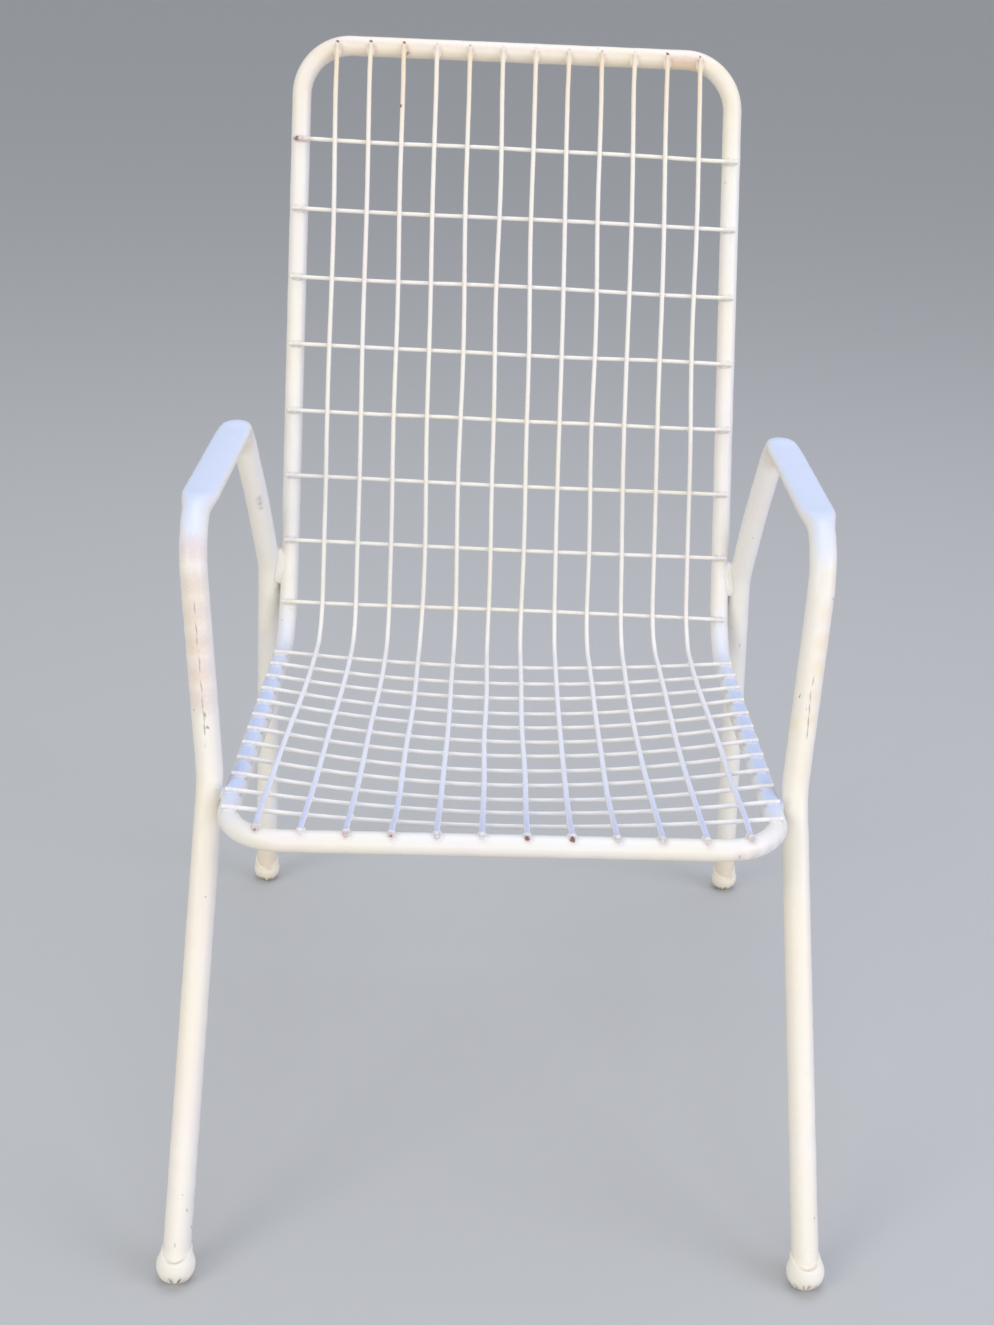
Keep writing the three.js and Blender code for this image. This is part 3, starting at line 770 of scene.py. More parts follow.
# %% Spots at the wire ends
TOP_RUST_SHARES = [1.12, 1.08, 1.12, 0.82, 0.86, 0.80, 0.78, 0.82, 0.84, 0.86, 1.10, 0.98]
FRONT_RUST_SHARES = [0.84, 0.25, 0.80, 0.86, 0.45, 0.40, 1.05, 1.15, 0.40, 0.45, 0.66, 0.62]
FRONT_SHADE_AND_DIRT_SHARES = [1.0, 0.4, 0.9, 0.9, 1.0, 0.7, 0.8, 0.7, 1.0, 1.0, 0.7, 1.0]
UNDER_TOP_END, UNDER_FRONT_END, PAST_FRONT_END = 0.0030, 0.0028, 0.0025
SHADOW_BESIDE_WIRE = 0.0045
BELOW_FRONT_END = np.array([0.002, -0.002, -0.009])
spots, shade_and_dirt_marks = [], []


def on_rail(column, steps, aside=0.0, beyond=0.0):
    """A place at the rail's surface under a wire: some steps back from its end, or beyond it."""
    station = column[-1 - steps] + unit(column[-1] - column[-2]) * beyond
    return station - UNDER_TOP_END * lifted_normal(np.array(HOOP_LENGTH)) + [aside, 0, 0]


for index, column in enumerate(columns):
    rust = TOP_RUST_SHARES[index]
    tip = column[0] + unit(column[0] - column[1]) * PAST_FRONT_END
    tip = tip - UNDER_FRONT_END * lifted_normal(np.array(0.0))
    spots += [
        mark(on_rail(column, 0, beyond=0.0030), 0.0046, rust),
        mark(on_rail(column, 1, 0.003), 0.0100, 0.52 * rust),
        mark(tip, 0.0062, FRONT_RUST_SHARES[index]),
        # a pink-brown painted shadow with some rust on the top rail, on the column's right side
        mark(on_rail(column, 3, SHADOW_BESIDE_WIRE), 0.0065, 0.5 * rust),
    ]
    # grey painted shade and dirt under the column's end on the front rail
    shade_and_dirt_marks.append(mark(tip + [0.001, 0.002, -0.001], 0.0085, FRONT_SHADE_AND_DIRT_SHARES[index]))
print(len(spots), "spots at the ends of the columns")

# %% Spots elsewhere
spots += [
    # the painted shadow beside column 3 runs on along it over the top rail
    mark(on_rail(columns[2], 4, SHADOW_BESIDE_WIRE), 0.0060, 1.1),
    mark(on_rail(columns[2], 6, SHADOW_BESIDE_WIRE), 0.0055, 1.0),
    mark(columns[2][-31] + [-0.002, -0.002, 0], 0.0038, 1.25),
    mark(columns[3][0] + BELOW_FRONT_END, 0.012, 0.62),
    mark(columns[10][0] + BELOW_FRONT_END, 0.012, 0.66),
    mark(rows[0][1], 0.0085, 0.98),
    mark(rows[0][4], 0.0085, 0.80),
    mark(rows[0][8], 0.0085, 0.78),
    mark([-0.200, -0.2780, 0.3865], 0.0032, 1.10),
    mark([0.243, -0.222, 0.389], 0.0040, 1.20),
]
orange_patch = 0.5 * (on_rail(columns[10], 3) + on_rail(columns[11], 3))
spots += [mark(orange_patch + [aside, 0, 0.004], 0.014, 0.60)
          for aside in (-0.012, -0.006, 0.0, 0.006, 0.012)]
yellowed = [mark(orange_patch + [aside, 0, -0.004], 0.018, 2.0) for aside in (-0.012, 0.0, 0.012)]
# grey painted shade and dirt where the wires lie on the rails
contact_shade_and_dirt = [mark(line[end], 0.0065, 0.75) for line in rows for end in (2, 5, -3, -6)]
contact_shade_and_dirt += [mark(line[end], 0.0060, 0.6) for line in columns for end in (1, -2)]
contact_shade_and_dirt += [mark(line[0], 0.0080, 1.1 * share)
            for line, share in zip(columns, FRONT_SHADE_AND_DIRT_SHARES)]
shade_and_dirt_marks += contact_shade_and_dirt
print(len(spots), "rust spots,", len(shade_and_dirt_marks), "shade_and_dirt_marks")

# %% The scraped front corner
turn = np.radians([14, 28, 42, 56])
corner_x = hoop_half_width(FRONT_CORNER_RADIUS) - FRONT_CORNER_RADIUS * (1 - np.sin(turn))
corner_middle = place(corner_x, FRONT_CORNER_RADIUS * (1 - np.cos(turn)), 0.0)
corner_out = np.stack([0.97 * np.sin(turn), -0.97 * np.cos(turn), np.full(4, -0.22)], axis=1)
scraped = [mark(point, 0.009, 0.42) for point in corner_middle + HOOP_RADIUS * corner_out]
print("scraped at", len(scraped), "places on the right front corner")


# %% Tints of the hoop
TOP_RAIL_HEIGHT = place(0.0, HOOP_LENGTH, 0.0)[2]
TOP_AGE_FROM = 0.86


def hoop_painted_sky(points):
    """How strong the painted sky reflection on upward faces is: least on the front and top rails,
    most on the seat's rails.
    """
    from_front = points[:, 1] - FRONT_RAIL_Y
    on_seat = np.interp(from_front, [0.030, 0.075, 0.36, 0.47], [0.20, 1.15, 1.2, 0.6])
    return on_seat * np.interp(points[:, 2], [0.45, 0.60], [1, 0.35])


def top_rail_share(points, side):
    """1 on the upper half of the top rail for side 1, on its lower half for side -1."""
    above = side * (points[:, 2] - TOP_RAIL_HEIGHT) / HOOP_RADIUS
    near = np.clip(1.6 - np.abs(above), 0, 1)
    return near * np.clip(0.5 + 1.2 * above, 0, 1)


def hoop_age_and_warm_light(points):
    """How yellow the paint is made: some on the top of the back and its corners, where it has
    yellowed, most under the top rail and some under the front rail, where the added yellow on
    the lower halves is painted warm light from below."""
    high = 0.35 * np.clip((points[:, 2] - TOP_AGE_FROM) / 0.05, 0, 1)
    ahead = np.clip((FRONT_RAIL_Y - points[:, 1]) / 0.005, 0, 1)
    under = ahead * np.clip((SEAT_FRONT_HEIGHT - points[:, 2]) / 0.008, 0, 1)
    return np.maximum(high, 0.45 * under) + 0.35 * top_rail_share(points, -1)


def hoop_rust(points):
    """The spots, with the painted shadows among them, and a faint pink painted reflection on the
    upper half of the top rail.
    """
    return np.maximum(marks_on(points, spots), 0.42 * top_rail_share(points, 1))


# %% Make the hoop
TUBE_SIDES, HOOP_LUMPS = 32, 0.00008
hoop_rings, hoop_run = tube_rings(
    hoop_line, unit(lifted_normal(flat_hoop[:, 1])), HOOP_RADIUS, HOOP_RADIUS,
    TUBE_SIDES, HOOP_LUMPS, 1, loop=True)
points, faces = ring_loop(hoop_rings)
add_piece("painted_seat_back_hoop", points, faces, tube_enamel, "paint", "seat_back_hoop",
          painted_sky_share=hoop_painted_sky(points), run=hoop_run.reshape(-1, 3), rust=hoop_rust(points),
          grime=marks_on(points, shade_and_dirt_marks + scraped), scuff=marks_on(points, scraped),
          aged=np.maximum(marks_on(points, yellowed), hoop_age_and_warm_light(points)))

# %% Make the wires
ACROSS = np.array([1.0, 0.0, 0.0])
WIRE_SIDES, WIRE_LUMPS, WIRE_EDGE_SHARE = 12, 0.00006, 0.4
COLUMN_AGES = 1.12 * np.array([0.9, 0.55, 1.0, 0.35, 0.8, 0.6, 0.6, 0.8, 0.95, 0.6, 0.8, 0.85])
ROW_AGE = 0.04


def seat_painted_sky(points):
    """How strong a wire's painted sky reflection is: little up the back and in the bend, more and
    more to the front rail.
    """
    from_front = points[:, 1] - FRONT_RAIL_Y
    return np.interp(from_front, [0.03, 0.12, 0.32, 0.42, 0.50], [1.35, 1.20, 1.0, 0.6, 0.05])


def add_wire(node, line, reference, radius, seed, painted_sky_share, painted_sky_from, age, low_share):
    """A wire with round ends, yellowed by `age` at the top and by `low_share` of it lower down."""
    ended, radii = with_round_ends(line, radius, WIRE_EDGE_SHARE * radius)
    rings, run = tube_rings(ended, reference, radii, radii, WIRE_SIDES, WIRE_LUMPS, seed)
    points, faces = skins(rings[None])
    add_piece("painted_" + node, points, faces, wire_enamel, "wire_paint", node,
              painted_sky_share * seat_painted_sky(points), painted_sky_from, run=closed_run(run),
              rust=marks_on(points, spots), grime=0.6 * marks_on(points, contact_shade_and_dirt),
              aged=age * np.clip((points[:, 2] - TOP_AGE_FROM) / 0.08, low_share, 1))


for index, line in enumerate(columns):
    add_wire(f"column_wire_{index + 1:02d}", line, ACROSS, COLUMN_RADIUS, 300 + index,
             1.0, -0.2, COLUMN_AGES[index], 0.04)
for number, (node, along) in enumerate(row_places):
    # painted sky reflection: on the seat rows weaker, but reaching faces turned partly down
    painted_sky_share, painted_sky_from = (1.0, 0.25) if number < BACK_ROW_COUNT else (0.50, -0.6)
    add_wire(node, rows[number], lifted_normal(np.array([along])), ROW_RADIUS, 400 + number,
             painted_sky_share, painted_sky_from, ROW_AGE, 1)

# %% [markdown]
# ## Spot welds
# Where two wires cross they were pressed together and melted into each other, and paint has
# filled the corners. A small lumpy pad in each crossing makes that joint. There are hundreds,
# so each pad has a few dozen faces, and all pads are one mesh built in a single array sum.


# %% Many small pads
def pads(centres, frames, half_sizes, seed, levels=5, sides=8):
    """Ellipsoids: rings of a unit ball, made uneven, stretched by the half sizes and turned."""
    rng = np.random.default_rng(seed)
    slope = np.pi * (np.arange(1, levels + 1) / (levels + 1)) - np.pi / 2
    around = 2 * np.pi * np.arange(sides) / sides
    ball = np.stack(np.broadcast_arrays(
        np.cos(slope)[:, None] * np.cos(around),
        np.cos(slope)[:, None] * np.sin(around),
        np.sin(slope)[:, None],
    ), axis=-1)
    uneven = 1 + rng.uniform(-0.07, 0.07, (len(centres), levels, sides, 1))
    local = ball[None] * uneven * half_sizes[:, None, None, :]
    return centres[:, None, None] + np.einsum("nlsk,nkc->nlsc", local, frames)


def surface_frames(along):
    """Rows are across, along and lift at a place on the bent surface."""
    heading = heading_at(along)
    onward = np.stack([0 * heading, np.cos(heading), np.sin(heading)], axis=-1)
    across = np.broadcast_to(ACROSS, onward.shape)
    return np.stack([across, onward, lifted_normal(along)], axis=1)


# %% Crossings of the grid
SPOT_WELD_HALF_SIZES = np.array([0.0030, 0.0033, 0.0022])


def nearest_lift(row, column):
    """The middle between a row and a column where they pass closest."""
    away = np.linalg.norm(row[:, None] - column[None], axis=2)
    at_row, at_column = np.unravel_index(away.argmin(), away.shape)
    weighed = row[at_row] * COLUMN_RADIUS + column[at_column] * ROW_RADIUS
    return weighed / (COLUMN_RADIUS + ROW_RADIUS)


crossings = np.array([nearest_lift(row, column) for row in rows for column in columns])
crossing_along = np.repeat([along for _, along in row_places], COLUMN_COUNT)
pad_sizes = SPOT_WELD_HALF_SIZES * np.random.default_rng(7).uniform(0.88, 1.14, (len(crossings), 3))
points, faces = skins(pads(crossings, surface_frames(crossing_along), pad_sizes, 8))
add_piece("grid_spot_welds", points, faces, wire_enamel, "wire_paint", painted_sky_share=0.8)
print(len(crossings), "spot welds")

# %% [markdown]
# ## Welds on the rails
# The end of each wire lies on its rail in a low mound of weld and paint. It is a longer pad,
# sunk into the rail, with the wire running out of it.

# %% Mounds at the wire ends
RAIL_PAD_SINK = 0.0006
ROW_END_HALF_SIZES, COLUMN_END_HALF_SIZES = (0.0075, 0.0042, 0.0030), (0.0044, 0.0072, 0.0030)


def rail_pads(lines, stations, along, radius):
    """Middles of the mounds: the wire's two end stations, each moved down to the rail."""
    ends = np.array([line[end] for line in lines for end in stations])
    return ends - lifted_normal(along) * (radius + RAIL_PAD_SINK)


row_along = np.repeat([along for _, along in row_places], 2)
column_along = np.tile([0.0, HOOP_LENGTH], COLUMN_COUNT)
end_along = np.concatenate([row_along, column_along])
end_pads = np.concatenate([
    rail_pads(rows, (3, -4), row_along, ROW_RADIUS),
    rail_pads(columns, (2, -4), column_along, COLUMN_RADIUS),
])
end_sizes = np.concatenate([
    np.tile(ROW_END_HALF_SIZES, (len(row_along), 1)),
    np.tile(COLUMN_END_HALF_SIZES, (len(column_along), 1)),
]) * np.random.default_rng(9).uniform(0.85, 1.15, (len(end_along), 3))
points, faces = skins(pads(end_pads, surface_frames(end_along), end_sizes, 10, 8, 14))
add_piece("wire_end_welds", points, faces, tube_enamel, "paint", painted_sky_share=hoop_painted_sky(points),
          aged=hoop_age_and_warm_light(points), grime=marks_on(points, shade_and_dirt_marks), rust=hoop_rust(points))
print(len(end_pads), "wire ends")

# %% [markdown]
# ## The side frames
# Each side is one 25 mm tube: a front leg, an armrest and a rear leg. The maker bent it at two
# elbows, pressed the armrest flatter to make it comfortable, and bent the rear leg once more
# where it leaves the back rail. Straight lines between corners are drawn first, then each
# corner is rounded, and the flattening is written as one more column of numbers on the line.

# %% Sizes of the side frames
LEG_RADIUS = 0.0125
FRONT_FOOT, REAR_FOOT = (0.281, -0.128, 0.0), (0.285, 0.559, 0.0)
FRONT_ELBOW, REAR_ELBOW = (0.281, 0.163, 0.612), (0.275, 0.459, 0.6085)
FRONT_WELD_BEHIND_RAIL, BACK_WELD_ABOVE_CORNER = 0.092, 0.082
KNEE_RISE, KNEE_RADIUS = 0.012, 0.124
FRONT_ELBOW_RADIUS, REAR_ELBOW_RADIUS, BACK_WELD_BEND_RADIUS = 0.077, 0.050, 0.093
ELBOW_STEPS, KNEE_STEPS = 40, 12
ARM_HALF_WIDTH, ARM_HALF_HEIGHT, ARM_BOW = 0.0170, 0.007, 0.0025
PRESS_START_SHARES, PRESS_END_SHARES = (0.65, 1.0), (-0.3, 0.8)
CAP_SOLE = 0.0065
SIDE_GAP = 0.0003
BACK_WELD_ALONG = HOOP_LENGTH - BACK_LENGTH + BACK_WELD_ABOVE_CORNER


# %% Rounded corners
def rounded(before, corner, after, radius, steps):
    """Points of the arc that touches both lines: its centre is on the line that halves their
    angle."""
    to_before, to_after = unit(before - corner), unit(after - corner)
    turn = math.pi - math.acos(float(to_before @ to_after))
    start = corner + to_before * radius * math.tan(turn / 2)
    centre = corner + unit(to_before + to_after) * radius / math.cos(turn / 2)
    angles = np.linspace(0, turn, steps + 1)[:, None]
    return centre + (start - centre) * np.cos(angles) - to_before * radius * np.sin(angles)


def corner_through(before, middle, after, radius):
    """The corner whose rounded bend passes through a given middle point."""
    to_before, to_after = unit(before - middle), unit(after - middle)
    turn = math.pi - math.acos(float(to_before @ to_after))
    return middle + unit(to_before + to_after) * (radius - radius / math.cos(turn / 2))


def eased(share, low, high):
    return smooth((share - low) / (high - low))


# %% Corners of the right side frame
def in_room(corner):
    """A corner measured back from the front rail, as a place in the room."""
    return np.array(corner) + [0, FRONT_RAIL_Y, 0]


def beside_hoop(along):
    """Where the middle of the side frame's tube passes the hoop's tube."""
    return place(hoop_half_width(along) + HOOP_RADIUS + SIDE_GAP + LEG_RADIUS, along, 0.0)


front_floor, rear_floor = in_room(FRONT_FOOT), in_room(REAR_FOOT)
front_touch, back_touch = beside_hoop(FRONT_WELD_BEHIND_RAIL), beside_hoop(BACK_WELD_ALONG)
front_leg_up = unit(front_touch - front_floor)
knee = front_touch + front_leg_up * KNEE_RISE
front_top, rear_top = in_room(FRONT_ELBOW), in_room(REAR_ELBOW)
rear_knee = corner_through(rear_top, back_touch, rear_floor, BACK_WELD_BEND_RADIUS)
rear_leg_up = unit(rear_knee - rear_floor)
rear_elbow = rounded(front_top, rear_top, rear_knee, REAR_ELBOW_RADIUS, ELBOW_STEPS)
rear_elbow_middle = rear_elbow[ELBOW_STEPS // 2]
print("front leg leans", round(math.degrees(math.acos(front_leg_up[2])), 1), "degrees")


# %% The right side frame's middle line
def tube_end(floor_point, leg_up):
    """The end of the square-cut tube, so far up the leg that its lowest point is a sole's height
    above the floor."""
    lean = math.acos(leg_up[2])
    return floor_point + leg_up * (CAP_SOLE + LEG_RADIUS * math.sin(lean)) / math.cos(lean)


def side_stations():
    """Places and flattening, from the front foot over the armrest to the rear foot."""
    front_end = tube_end(front_floor, front_leg_up)
    rear_end = tube_end(rear_floor, rear_leg_up)
    front_elbow = rounded(knee, front_top, rear_top, FRONT_ELBOW_RADIUS, ELBOW_STEPS)
    share = np.linspace(0, 1, ELBOW_STEPS + 1)
    before = np.linspace(PRESS_END_SHARES[0], 0, 12)[:-1]
    along_arm = unit(rear_top - front_top) * walked_to(rear_elbow)[-1]
    round_tube = np.zeros(KNEE_STEPS + 1)
    stretches = [
        (front_end[None], np.zeros(1)),
        (rounded(front_end, knee, front_top, KNEE_RADIUS, KNEE_STEPS), round_tube),
        (front_elbow, eased(share, *PRESS_START_SHARES)),
        (rear_elbow[0] + along_arm * before[:, None], 1 - eased(before, *PRESS_END_SHARES)),
        (rear_elbow, 1 - eased(share, *PRESS_END_SHARES)),
        (rounded(rear_top, rear_knee, rear_end, BACK_WELD_BEND_RADIUS, KNEE_STEPS), round_tube),
        (rear_end[None], np.zeros(1)),
    ]
    return np.concatenate([np.column_stack(each) for each in stretches])


def bowed(line):
    """Pushed outwards along the arm: more from the front elbow on, gone down the rear leg."""
    back = (line[:, 1] - front_top[1]) / (rear_top[1] - front_top[1])
    bow = eased(back, 0.1, 0.9) * eased(line[:, 2], 0.50, 0.60)
    return line + ARM_BOW * bow[:, None] * [1, 0, 0, 0]


side_line, side_flatness = np.split(bowed(evenly(side_stations())), [3], axis=1)
print("side frame tube:", round(walked_to(side_line)[-1], 3), "m long")

# %% [markdown]
# ## Making both side frames
# The right and the left frame share one line, mirrored. Where the tube was pressed and bent at
# once, at the rear elbow, its inner wall buckled. That crease is a narrow dent across the
# inside of the bend, with a bulge on each side of it.


# %% A buckled inner wall
SIDES = {"right": np.array([1, 1, 1]), "left": np.array([-1, 1, 1])}
LEG_LUMPS = 0.00010
DENT_DEPTH, DENT_SPREAD = 0.0021, 0.0028
BULGE_HEIGHT, BULGE_OFF, BULGE_SPREAD = 0.0008, 0.0075, 0.0035


def buckle(distance, inward):
    """Depth of the crease: a narrow dent between two wider bulges, only on the inner side."""
    dent = DENT_DEPTH * np.exp(-(distance / DENT_SPREAD) ** 2)
    bulge = BULGE_HEIGHT * np.exp(-((np.abs(distance) - BULGE_OFF) / BULGE_SPREAD) ** 2)
    return (dent - bulge) * np.clip(inward, 0, 1) ** 2


def side_frame(mirror, seed):
    line = side_line * mirror
    half_width, half_height = (
        (LEG_RADIUS + (half - LEG_RADIUS) * side_flatness)[:, 0]
        for half in (ARM_HALF_WIDTH, ARM_HALF_HEIGHT))
    rings, run = tube_rings(line, ACROSS, half_width, half_height, TUBE_SIDES, LEG_LUMPS, seed)
    walked = walked_to(line)
    elbow = np.linalg.norm(line - rear_elbow_middle * mirror, axis=1).argmin()
    inward = np.sin(2 * math.pi * (np.arange(TUBE_SIDES) + 0.5) / TUBE_SIDES)
    depth = buckle((walked - walked[elbow])[:, None], inward)
    rings = rings + unit(line[:, None] - rings) * depth[..., None]
    return *skins(rings[None]), closed_run(run)


# %% [markdown]
# ## Scuffs on the legs
# The legs have been knocked and rubbed: on the left front leg there is a long broken line of
# grey scuffs with yellowed paint beside it, on the right one a shorter line. Each mark is told
# by its height above the floor, its angle round the leg, with 0 straight to the front, its
# reach and its strength. A scratch is told by how far beside the leg's front it runs.

# %% Marks by height and angle
FRONT_SCUFFS = {
    "left": [
        (0.538, 0, 0.010, 0.45), (0.522, 2, 0.012, 0.50), (0.507, 3, 0.012, 0.55),
        (0.490, 4, 0.012, 0.50), (0.472, 4, 0.010, 0.45), (0.459, 3, 0.010, 0.70),
        (0.450, -45, 0.004, 0.70), (0.446, 2, 0.009, 0.72), (0.436, 0, 0.009, 0.72),
        (0.424, 0, 0.008, 0.55), (0.096, 28, 0.004, 1.3), (0.075, 14, 0.0035, 1.25),
        (0.062, 35, 0.0045, 1.35), (0.045, 70, 0.004, 1.3), (0.037, -8, 0.004, 1.25),
        (0.30, 20, 0.0035, 1.25)],
    "right": [
        (0.490, 2, 0.008, 0.50), (0.478, 4, 0.009, 0.50), (0.466, 10, 0.010, 0.55),
        (0.455, 12, 0.010, 0.62), (0.444, 14, 0.009, 0.55), (0.476, -48, 0.006, 0.55),
        (0.464, -52, 0.007, 0.62), (0.448, -56, 0.007, 0.55), (0.560, 55, 0.0035, 1.3),
        (0.078, 35, 0.004, 1.3), (0.062, 32, 0.005, 1.3), (0.035, -8, 0.004, 1.3)],
}
REAR_SCUFFS = {
    "left": [(0.30, -20, 0.005, 0.8), (0.20, 10, 0.004, 0.8)],
    "right": [(0.49, 10, 0.003, 0.8), (0.35, 20, 0.004, 0.8), (0.22, 0, 0.004, 0.8)],
}
REAR_STAINS = {
    "left": [(0.520, 22, 0.0055, 1.0), (0.514, 22, 0.0055, 1.0), (0.508, 22, 0.005, 0.8)],
    "right": [],
}
YELLOWED = {
    "left": [(0.548, -5, 0.026, 0.5), (0.527, -10, 0.022, 0.6), (0.505, -10, 0.022, 0.7),
             (0.478, -10, 0.020, 0.6)],
    "right": [(0.450, -62, 0.014, 0.8), (0.575, 30, 0.018, 0.6), (0.548, 34, 0.018, 0.7),
              (0.524, 34, 0.018, 0.8), (0.500, 30, 0.018, 0.8), (0.478, 24, 0.016, 0.7),
              (0.456, 20, 0.014, 0.6)],
}
BLUSHES = {
    "left": [(height, 5, 0.034, 0.56) for height in (0.585, 0.560, 0.535, 0.510, 0.485, 0.460)],
    "right": [],
}
SCRATCH_HEIGHTS = (0.415, 0.450, 0.480, 0.540)
SCRATCH_PLACES = {"left": (0.0, 0.0007, 0.0008, 0.0005),
                  "right": (0.0030, 0.0022, 0.0005, -0.0010)}
FRONT_AGE, FOOT_AGE, FOOT_GRIME = 0.20, 0.75, 0.12


def leg_marks(leg, marks):
    """The leg's station nearest to each height, and out from it by the leg's radius."""
    heights, angles, reaches, strengths = np.reshape(marks, (-1, 4)).T
    stations = leg[np.abs(leg[:, 2][None] - heights[:, None]).argmin(axis=1)]
    angles = np.radians(angles)
    out = np.stack([np.sin(angles), -np.cos(angles), 0 * angles], axis=1)
    return np.column_stack([stations + LEG_RADIUS * out, reaches, strengths]).tolist()


def leg_age(points):
    """How yellowed a leg is: evenly on the front one, and on the rear one only above its cap."""
    front = FRONT_AGE * (points[:, 1] < 0) * np.clip((0.60 - points[:, 2]) / 0.04, 0, 1)
    foot = FOOT_AGE * (points[:, 1] > 0) * np.clip((0.095 - points[:, 2]) / 0.05, 0, 1)
    return front + foot


def weld_groove_darkening(mirror):
    """Darker paint in the grooves beside the welds: above and below the back one, round the front
    one.
    """
    back = [mark((back_touch + [-LEG_RADIUS, 0, rise]) * mirror, 0.013, 0.7)
            for rise in (-0.024, 0.024)]
    front = [mark((front_touch + [-LEG_RADIUS, onward, rise]) * mirror, 0.010, 0.6)
             for onward in (-0.008, 0.008) for rise in (-0.008, 0.008)]
    return back + front


# %% Make the side frames
for (side, mirror), seed in zip(SIDES.items(), (11, 12)):
    points, faces, run = side_frame(mirror, seed)
    front_leg, rear_leg = np.split(side_line * mirror, [len(side_line) // 2])
    crease = (rear_elbow_middle + [0, -0.008, -0.010]) * mirror
    scuffs = leg_marks(front_leg, FRONT_SCUFFS[side]) + leg_marks(rear_leg, REAR_SCUFFS[side])
    groove_darkening_and_stains = weld_groove_darkening(mirror) + leg_marks(rear_leg, REAR_STAINS[side])
    yellow = leg_marks(front_leg, YELLOWED[side]) + [mark(crease, 0.03, 0.7)]
    pink = leg_marks(front_leg, BLUSHES[side]) + [mark(crease, 0.010, 1.1)]
    # painted sky reflection only on the armrests' tops
    painted_sky_share = np.interp(points[:, 2], [0.46, 0.57, 0.60], [0.0, 0.25, 1.0])
    foot_grime = FOOT_GRIME * faded(points[:, 2], 0.12)
    add_piece(f"painted_{side}_side_frame", points, faces, tube_enamel, "paint",
              f"{side}_side_frame", painted_sky_share, run=run,
              beside=run[:, 1] - np.interp(points[:, 2], SCRATCH_HEIGHTS, SCRATCH_PLACES[side]),
              scuff=marks_on(points, scuffs), rust=marks_on(points, pink),
              grime=np.maximum(marks_on(points, groove_darkening_and_stains), foot_grime),
              aged=np.maximum(marks_on(points, yellow), leg_age(points)))

# %% [markdown]
# ## Welds between the tubes
# Two round tubes that touch leave a groove on each side, and the welder filled it. Where the
# rear leg runs beside the back rail, the filling is a long fillet: at every station its
# section is drawn from the circle that touches both tubes, and the circle shrinks to nothing
# at both ends. At the front corner the tubes cross, so the filling is a small oval lump.


# %% A fillet between two nearly parallel tubes
THINNEST_FILLET = 0.0004


def fillet_rings(first, second, first_radius, second_radius, fillet_radii, steps=7):
    """At each station: the arc between the tubes in front, then the arc behind, as one ring."""
    apart = np.linalg.norm(second - first, axis=1)
    over = unit(second - first)
    travel = unit(np.gradient(first + second, axis=0))
    out = np.cross(travel, over)
    reach_a, reach_b = first_radius + fillet_radii, second_radius + fillet_radii
    reach_b = np.maximum(reach_b, apart - reach_a + 1e-5)
    centre_x = (reach_a ** 2 - reach_b ** 2 + apart ** 2) / (2 * apart)
    centre_y = np.sqrt(np.maximum(reach_a ** 2 - centre_x ** 2, 1e-9))
    start = np.arctan2(-centre_y, -centre_x)
    end = np.arctan2(-centre_y, apart - centre_x)
    angles = start[:, None] + (end - start)[:, None] * np.linspace(0, 1, steps)
    x = centre_x[:, None] + fillet_radii[:, None] * np.cos(angles)
    y = centre_y[:, None] + fillet_radii[:, None] * np.sin(angles)
    y = np.maximum(y, THINNEST_FILLET)
    x = np.concatenate([x, x[:, ::-1]], axis=1)
    y = np.concatenate([-y, y[:, ::-1]], axis=1)
    return first[:, None] + x[..., None] * over[:, None] + y[..., None] * out[:, None]


# %% Back rail welds
BACK_WELD_HALF_LENGTH, FILLET_RADIUS, WELD_LUMPS, WELD_GRIME = 0.021, 0.0085, 0.0002, 0.1
weld_share = np.linspace(-1, 1, 41)
weld_walk = weld_share * BACK_WELD_HALF_LENGTH
side_walk = walked_to(side_line)
touch_walk = side_walk[np.linalg.norm(side_line - back_touch, axis=1).argmin()]
leg_axis = np.stack([
    np.interp(touch_walk - weld_walk, side_walk, column) for column in side_line.T], axis=1)
rail_along = BACK_WELD_ALONG + weld_walk
rail_axis = place(hoop_half_width(rail_along), rail_along, 0.0)
fillet_radii = FILLET_RADIUS * np.sqrt(np.clip(1 - weld_share ** 2, 0.002, 1))


def add_weld(node, rings):
    points, faces = skins(rings)
    add_piece("painted_" + node, points, faces, tube_enamel, "paint", node,
              grime=np.full(len(points), WELD_GRIME))


for side, mirror in SIDES.items():
    rings = fillet_rings(
        rail_axis * mirror, leg_axis * mirror, HOOP_RADIUS, LEG_RADIUS, fillet_radii)
    around = np.linspace(0, 2 * np.pi, rings.shape[1])
    lumps = brushed_lumps(weld_walk, around, WELD_LUMPS, 20)
    rings = rings + unit(rings - rings.mean(axis=1, keepdims=True)) * lumps[..., None]
    add_weld(f"{side}_back_rail_weld", rings[None, :, ::mirror[0]])

# %% Front corner welds
CORNER_WELD_HALF_SIZES = np.array([[0.0042, 0.0085, 0.0080]])
CORNER_WELD_FROM_LEG = np.array([-LEG_RADIUS - SIDE_GAP / 2, 0, -0.0015])
for side, mirror in SIDES.items():
    centre = (front_touch + CORNER_WELD_FROM_LEG) * mirror
    seed = 30 + mirror[0]
    add_weld(f"{side}_front_corner_weld",
             pads(centre[None], np.eye(3)[None], CORNER_WELD_HALF_SIZES, seed, 14, 24))

# %% [markdown]
# ## Rubber foot caps
# Each leg stands in a ball-shaped rubber cap that was painted over with the chair. It has a
# collar whose rim dips at the front, a soft crease where the leg goes in, and a bottom worn
# flat and crumpled on the ground. It is a turned shape whose heights are shifted with the
# angle, so that the rim slopes, and whose lower edge is notched with waves round it.

